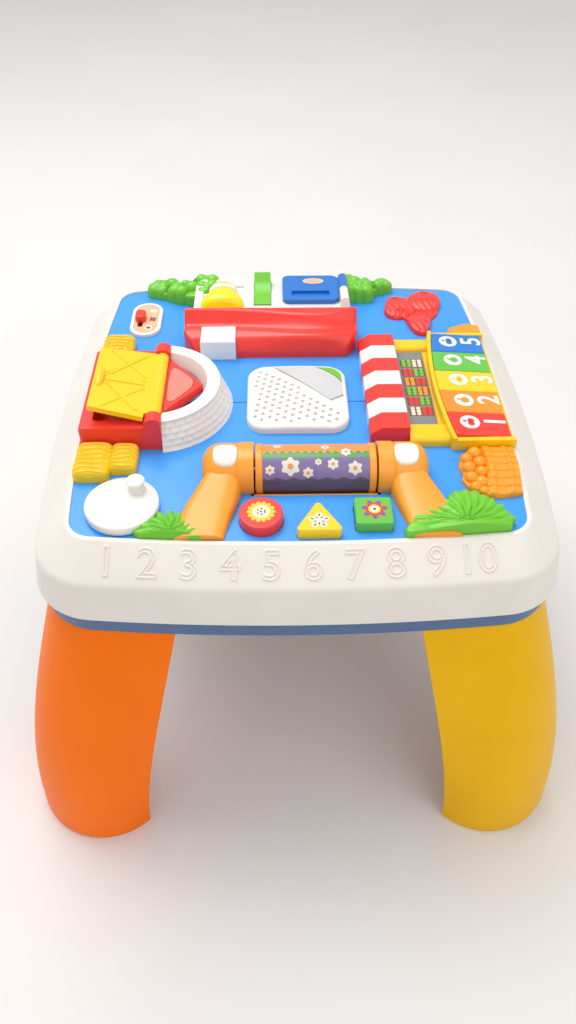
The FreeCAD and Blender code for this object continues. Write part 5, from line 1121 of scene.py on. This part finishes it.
def buildGate():
    # two sleeves with rounded ends, two arms that widen towards the rim, white caps and the drum's trough
    v = gate
    x = np.concatenate([v["outer"] + v["round"] * (1.0 - np.cos(np.linspace(0.05, math.pi / 2.0, 14))),
                        np.linspace(v["outer"] + v["round"] + 1.0, v["inner"], 40)])
    inset = np.clip(v["outer"] + v["round"] - x, 0.0, None)
    radius = v["radius"] - v["round"] + np.sqrt(np.clip(v["round"] ** 2 - inset ** 2, 0.0, None))
    radius = radius - v["creaseDepth"] * np.exp(-((x - v["crease"]) / v["creaseWidth"]) ** 2)
    radius = radius + v["creaseStep"] * (x > v["crease"])
    angle = fullTurn(72)[None]
    sleeve = np.stack([x[:, None] + 0.0 * angle, v["axisY"] + radius[:, None] * np.cos(angle),
                       np.maximum(v["axisZ"] + radius[:, None] * np.sin(angle), panelTop)], -1)
    share = np.linspace(0.0, 1.0, 40)
    knots = np.linspace(0.0, 1.0, len(v["legOuter"]))
    outer, inner, high = (np.interp(share, knots, v[k]) for k in ("legOuter", "legInner", "legHeight"))
    for _ in range(6):
        for row in (outer, inner, high):
            row[1:-1] = (row[:-2] + 2.0 * row[1:-1] + row[2:]) / 4.0
    middle, half = v["outer"] + (outer + inner) / 2.0, (inner - outer) / 2.0
    y = v["armStart"] - share * (float(rimEdge(v["armMiddle"])) - v["rimGap"] + v["armStart"])
    turn = np.linspace(0.0, math.pi, 33)[None]
    bulge = np.sign(np.cos(turn)) * np.abs(np.cos(turn)) ** v["armPower"]
    arm = np.stack([middle[:, None] + half[:, None] * bulge,
                    y[:, None] + 0.0 * turn, panelTop + high[:, None] * np.sin(turn) ** v["armPower"]], -1)
    cap = softened(densify([(-57.8, -106.6), (-41.0, -107.4), (-40.6, -88.0), (-58.2, -89.2)], 20), 60)

    def capHeight(cx, cy):
        return v["axisZ"] + np.sqrt(v["capRadius"] ** 2 - (cy - v["axisY"]) ** 2) - v["capBase"]
    for side, mirror in (("Left", 1.0), ("Right", -1.0)):
        first = side == "Left"

        def place(points):
            moved = np.array(points, float)
            moved[..., 0] = v["centre"] + mirror * (moved[..., 0] - v["centre"])
            return moved
        closedRings("gateSleeve" + side, place(sleeve), "gate", "table", ("gate",) if first else (), 40.0)
        closedRings("gateArm" + side, place(arm), "gate", "table", (), 40.0)
        reliefPiece("gateCap" + side, place(np.array([(-49.5, -97.5)]))[0], place(cap), capHeight, "white",
                    "table", ("gate_caps",) if first else (), 30, 1.4, v["capBase"], 40.0)
    arc = np.linspace(math.pi, 2.0 * math.pi, 40)
    shell = np.concatenate([np.stack([v["axisY"] + r * np.cos(a),
                                      np.minimum(v["axisZ"] + r * np.sin(a), v["wellTop"])], -1)
                            for r,
                            a in ((v["wellRadius"] + v["wellWall"], arc), (v["wellRadius"], arc[::-1]))])
    half = v["centre"] - v["inner"]
    trough = np.stack([np.concatenate([np.full((len(shell), 1), v["centre"] + s * half), shell],
                                      1) for s in (-1.0, 1.0)])
    closedRings("drumTrough", trough, "gate", "table")


lamp = {"x": -59.5, "front": 102.0, "length": 39.0, "width": 38.0, "base": 314.0, "height": 9.4,
        "share": (0.0, 0.04, 0.1, 0.2, 0.32, 0.42, 0.52, 0.62),
        "wide": (0.8, 0.95, 1.0, 0.98, 0.9, 0.8, 0.68, 0.58),
        "high": (0.15, 0.6, 0.85, 0.97, 1.0, 0.98, 0.9, 0.72), "neck": 0.62, "neckWide": 0.62,
        "swell": 0.05, "bandEnd": 0.77, "tip": 0.97}


def archRings(share, wide, high):
    # half-round arches across Y, with their feet on the wall
    v = lamp
    turn = np.linspace(0.0, math.pi, 41)[None]
    share, wide, high = (np.asarray(a, float)[:, None] for a in (share, wide, high))
    return np.stack([v["x"] + v["width"] / 2.0 * wide * np.cos(turn),
                     v["front"] + v["length"] * share + 0.0 * turn,
                     v["base"] + v["height"] * high * np.sin(turn)], -1)


def buildLamp():
    # a yellow bulb that narrows to a neck, a white band, and a short rounded end
    v = lamp
    fine = np.linspace(0.0, v["neck"], 40)
    closedRings("lampBulb", archRings(fine, np.interp(fine, v["share"], v["wide"]),
                                      np.interp(fine, v["share"], v["high"])),
                "lamp", "table", ("porch_lamp",), 40.0)
    band = np.linspace(v["neck"], v["bandEnd"], 12)
    swell = v["neckWide"] + v["swell"] * np.sin((band - v["neck"]) / (v["bandEnd"] - v["neck"]) * math.pi)
    closedRings("lampBand", archRings(band, swell, swell + 0.18), "white", "table", ("lamp_ring",), 40.0)
    end = np.linspace(v["bandEnd"], v["tip"], 16)
    fall = np.sqrt(np.clip(1.0 - ((end - v["bandEnd"]) / (v["tip"] - v["bandEnd"])) ** 2, 0.02, 1.0))
    closedRings("lampEnd", archRings(end, 0.6 * fall, 0.85 * fall), "lamp", "table", (), 40.0)


switch = {"x": -24.8, "half": 7.2, "y": 126.75, "z": 311.0,
          "side": ((-19.2, 1.5), (-19.3, 3.3), (-12.0, 3.2), (0.0, 3.9), (9.0, 7.2), (15.0, 12.0),
                   (17.4, 14.0), (18.6, 13.0), (19.2, 8.0), (18.4, 1.5))}


def buildSwitch():
    # a hollow-topped rocker: its back end stands up in a rounded horn
    v = switch
    side = softened(densify(v["side"], 5), 3)
    x = np.array([-1.0, -0.94, -0.8, 0.8, 0.94, 1.0]) * v["half"]
    shrink = np.array([0.92, 0.975, 1.0, 1.0, 0.975, 0.92])
    middle = side.mean(0)
    pivot = np.array([v["y"], v["z"]])
    rings = [np.concatenate([np.full((len(side), 1), v["x"] + out),
                             middle + (side - middle) * share + pivot], 1)
             for out, share in zip(x, shrink)]
    closedRings("switchHorn", np.asarray(rings), "leaf", "light_switch", (), 40.0)


barnPrint = {"window": ((-95.4, -41.0), (-73.0, -11.5), (-95.4, 13.0)), "top": 319.0, "hingeX": -102.0,
             "hingeZ": 320.5,
             "rise": 3.8, "rest": 12.0, "middle": -21.5, "reach": (10.0, 39.5), "half": 35.0, "line": 0.9}


def buildBarnTrim():
    # the window in the gable, and raised seams on the door: two across its middle and a cross in each half
    v = barnPrint
    window = softened(densify(v["window"], 16), 24)
    stamp("gableWindow", (0.0, 0.0, v["top"]), east, north, [window], "salmon", "table", 0.5, -0.2,
          ("hayloft_window",))
    tilt = math.radians(v["rest"])
    out, normal = np.array([-math.cos(tilt), 0.0,
                            math.sin(tilt)]), np.array([math.sin(tilt), 0.0, math.cos(tilt)])
    origin = np.array([v["hingeX"], v["middle"], v["hingeZ"]]) + normal * v["rise"]
    near, far = v["reach"]
    seams = [((near, 2.6), (far, 2.6)), ((near, -2.6), (far, -2.6))]
    for side in (-1.0, 1.0):
        seams += [((near, side * 6.0), (far, side * v["half"])),
                  ((near, side * v["half"]), (far, side * 6.0))]
    w = v["line"] / 2.0
    plates = [[(u0, v0 - w), (u1, v1 - w), (u1, v1 + w), (u0, v0 + w)] for (u0, v0), (u1, v1) in seams]
    stamp("barnDoorSeams", origin, out, (0.0, -1.0, 0.0), plates, "yellow", "barn_door", 0.45)


buildNumerals()
buildKeyPrints()
buildButtonPrints()
buildSmallPrints()
buildGate()
buildLamp()
buildSwitch()
buildBarnTrim()
print("digits, prints, gate, lamp, switch and barn trim built")


# floor, light and camera
stageLook = {"floorSize": 6.0, "floorTints": ((0.76, 0.75, 0.74), (0.84, 0.83, 0.82)), "keyPower": 30.0,
             "fillPower": 8.0, "worldLevel": 0.66}


def buildFloor():
    half = stageLook["floorSize"] / 2.0
    corners = np.array([(-half, -half, 0.0), (half, -half, 0.0), (half, half, 0.0), (-half, half, 0.0)])
    mesh = bpy.data.meshes.new("studioFloor")
    mesh.from_pydata(corners.tolist(), [], [(0, 1, 2, 3)])
    floor = linked("studioFloor", mesh)
    material = bpy.data.materials.new("paleFloor")
    material.use_nodes = True
    tree = material.node_tree
    shader = tree.nodes["Principled BSDF"]
    place = tree.nodes.new("ShaderNodeTexCoord").outputs["Object"]
    cloud = noiseNode(tree, place, 3.0, 4.0)
    tree.links.new(mixColours(tree, cloud, *stageLook["floorTints"]), shader.inputs["Base Color"])
    shader.inputs["Roughness"].default_value = 0.9
    mesh.materials.append(material)


def addArea(name, place, target, size, power):
    light = bpy.data.lights.new(name, "AREA")
    light.energy = power
    light.size = size
    holder = linked(name, light)
    holder.location = place
    holder.rotation_euler = (Vector(target) - Vector(place)).to_track_quat("-Z", "Y").to_euler()


def buildLight():
    world = bpy.data.worlds.new("studioWorld")
    world.use_nodes = True
    world.node_tree.nodes["Background"].inputs["Color"].default_value = (1.0, 0.985, 0.97, 1.0)
    world.node_tree.nodes["Background"].inputs["Strength"].default_value = stageLook["worldLevel"]
    bpy.context.scene.world = world
    addArea("ceilingLight", (-0.5, 0.6, 2.1), (0.0, 0.0, 0.25), 1.4, stageLook["keyPower"])
    addArea("windowFill", (0.9, -1.3, 1.5), (0.0, 0.0, 0.2), 1.6, stageLook["fillPower"])


cameraView = {"place": (-0.0155, -0.5167, 0.6901), "pitch": 45.33, "yaw": 1.25, "roll": -0.28,
              "focalPixels": 816.0, "longSide": 1024.0, "sensor": 36.0}


def buildCamera():
    pitch, yaw, roll = (math.radians(cameraView[k]) for k in ("pitch", "yaw", "roll"))
    forward = Vector((math.sin(yaw) * math.cos(pitch), math.cos(yaw) * math.cos(pitch), -math.sin(pitch)))
    right = Vector((math.cos(yaw), -math.sin(yaw), 0.0))
    down = forward.cross(right)
    rolledRight = right * math.cos(roll) + down * math.sin(roll)
    rolledDown = down * math.cos(roll) - right * math.sin(roll)
    camera = bpy.data.cameras.new("photoCamera")
    camera.sensor_fit = "VERTICAL"
    camera.sensor_height = cameraView["sensor"]
    camera.lens = cameraView["focalPixels"] / cameraView["longSide"] * cameraView["sensor"]
    camera.clip_start = 0.01
    holder = linked("photoCamera", camera)
    turn = Matrix((rolledRight, -rolledDown, -forward)).transposed()
    holder.matrix_world = Matrix.Translation(cameraView["place"]) @ turn.to_4x4()
    bpy.context.scene.camera = holder


buildFloor()
buildLight()
buildCamera()
bpy.context.scene.view_settings.view_transform = "Standard"
print("studio built")
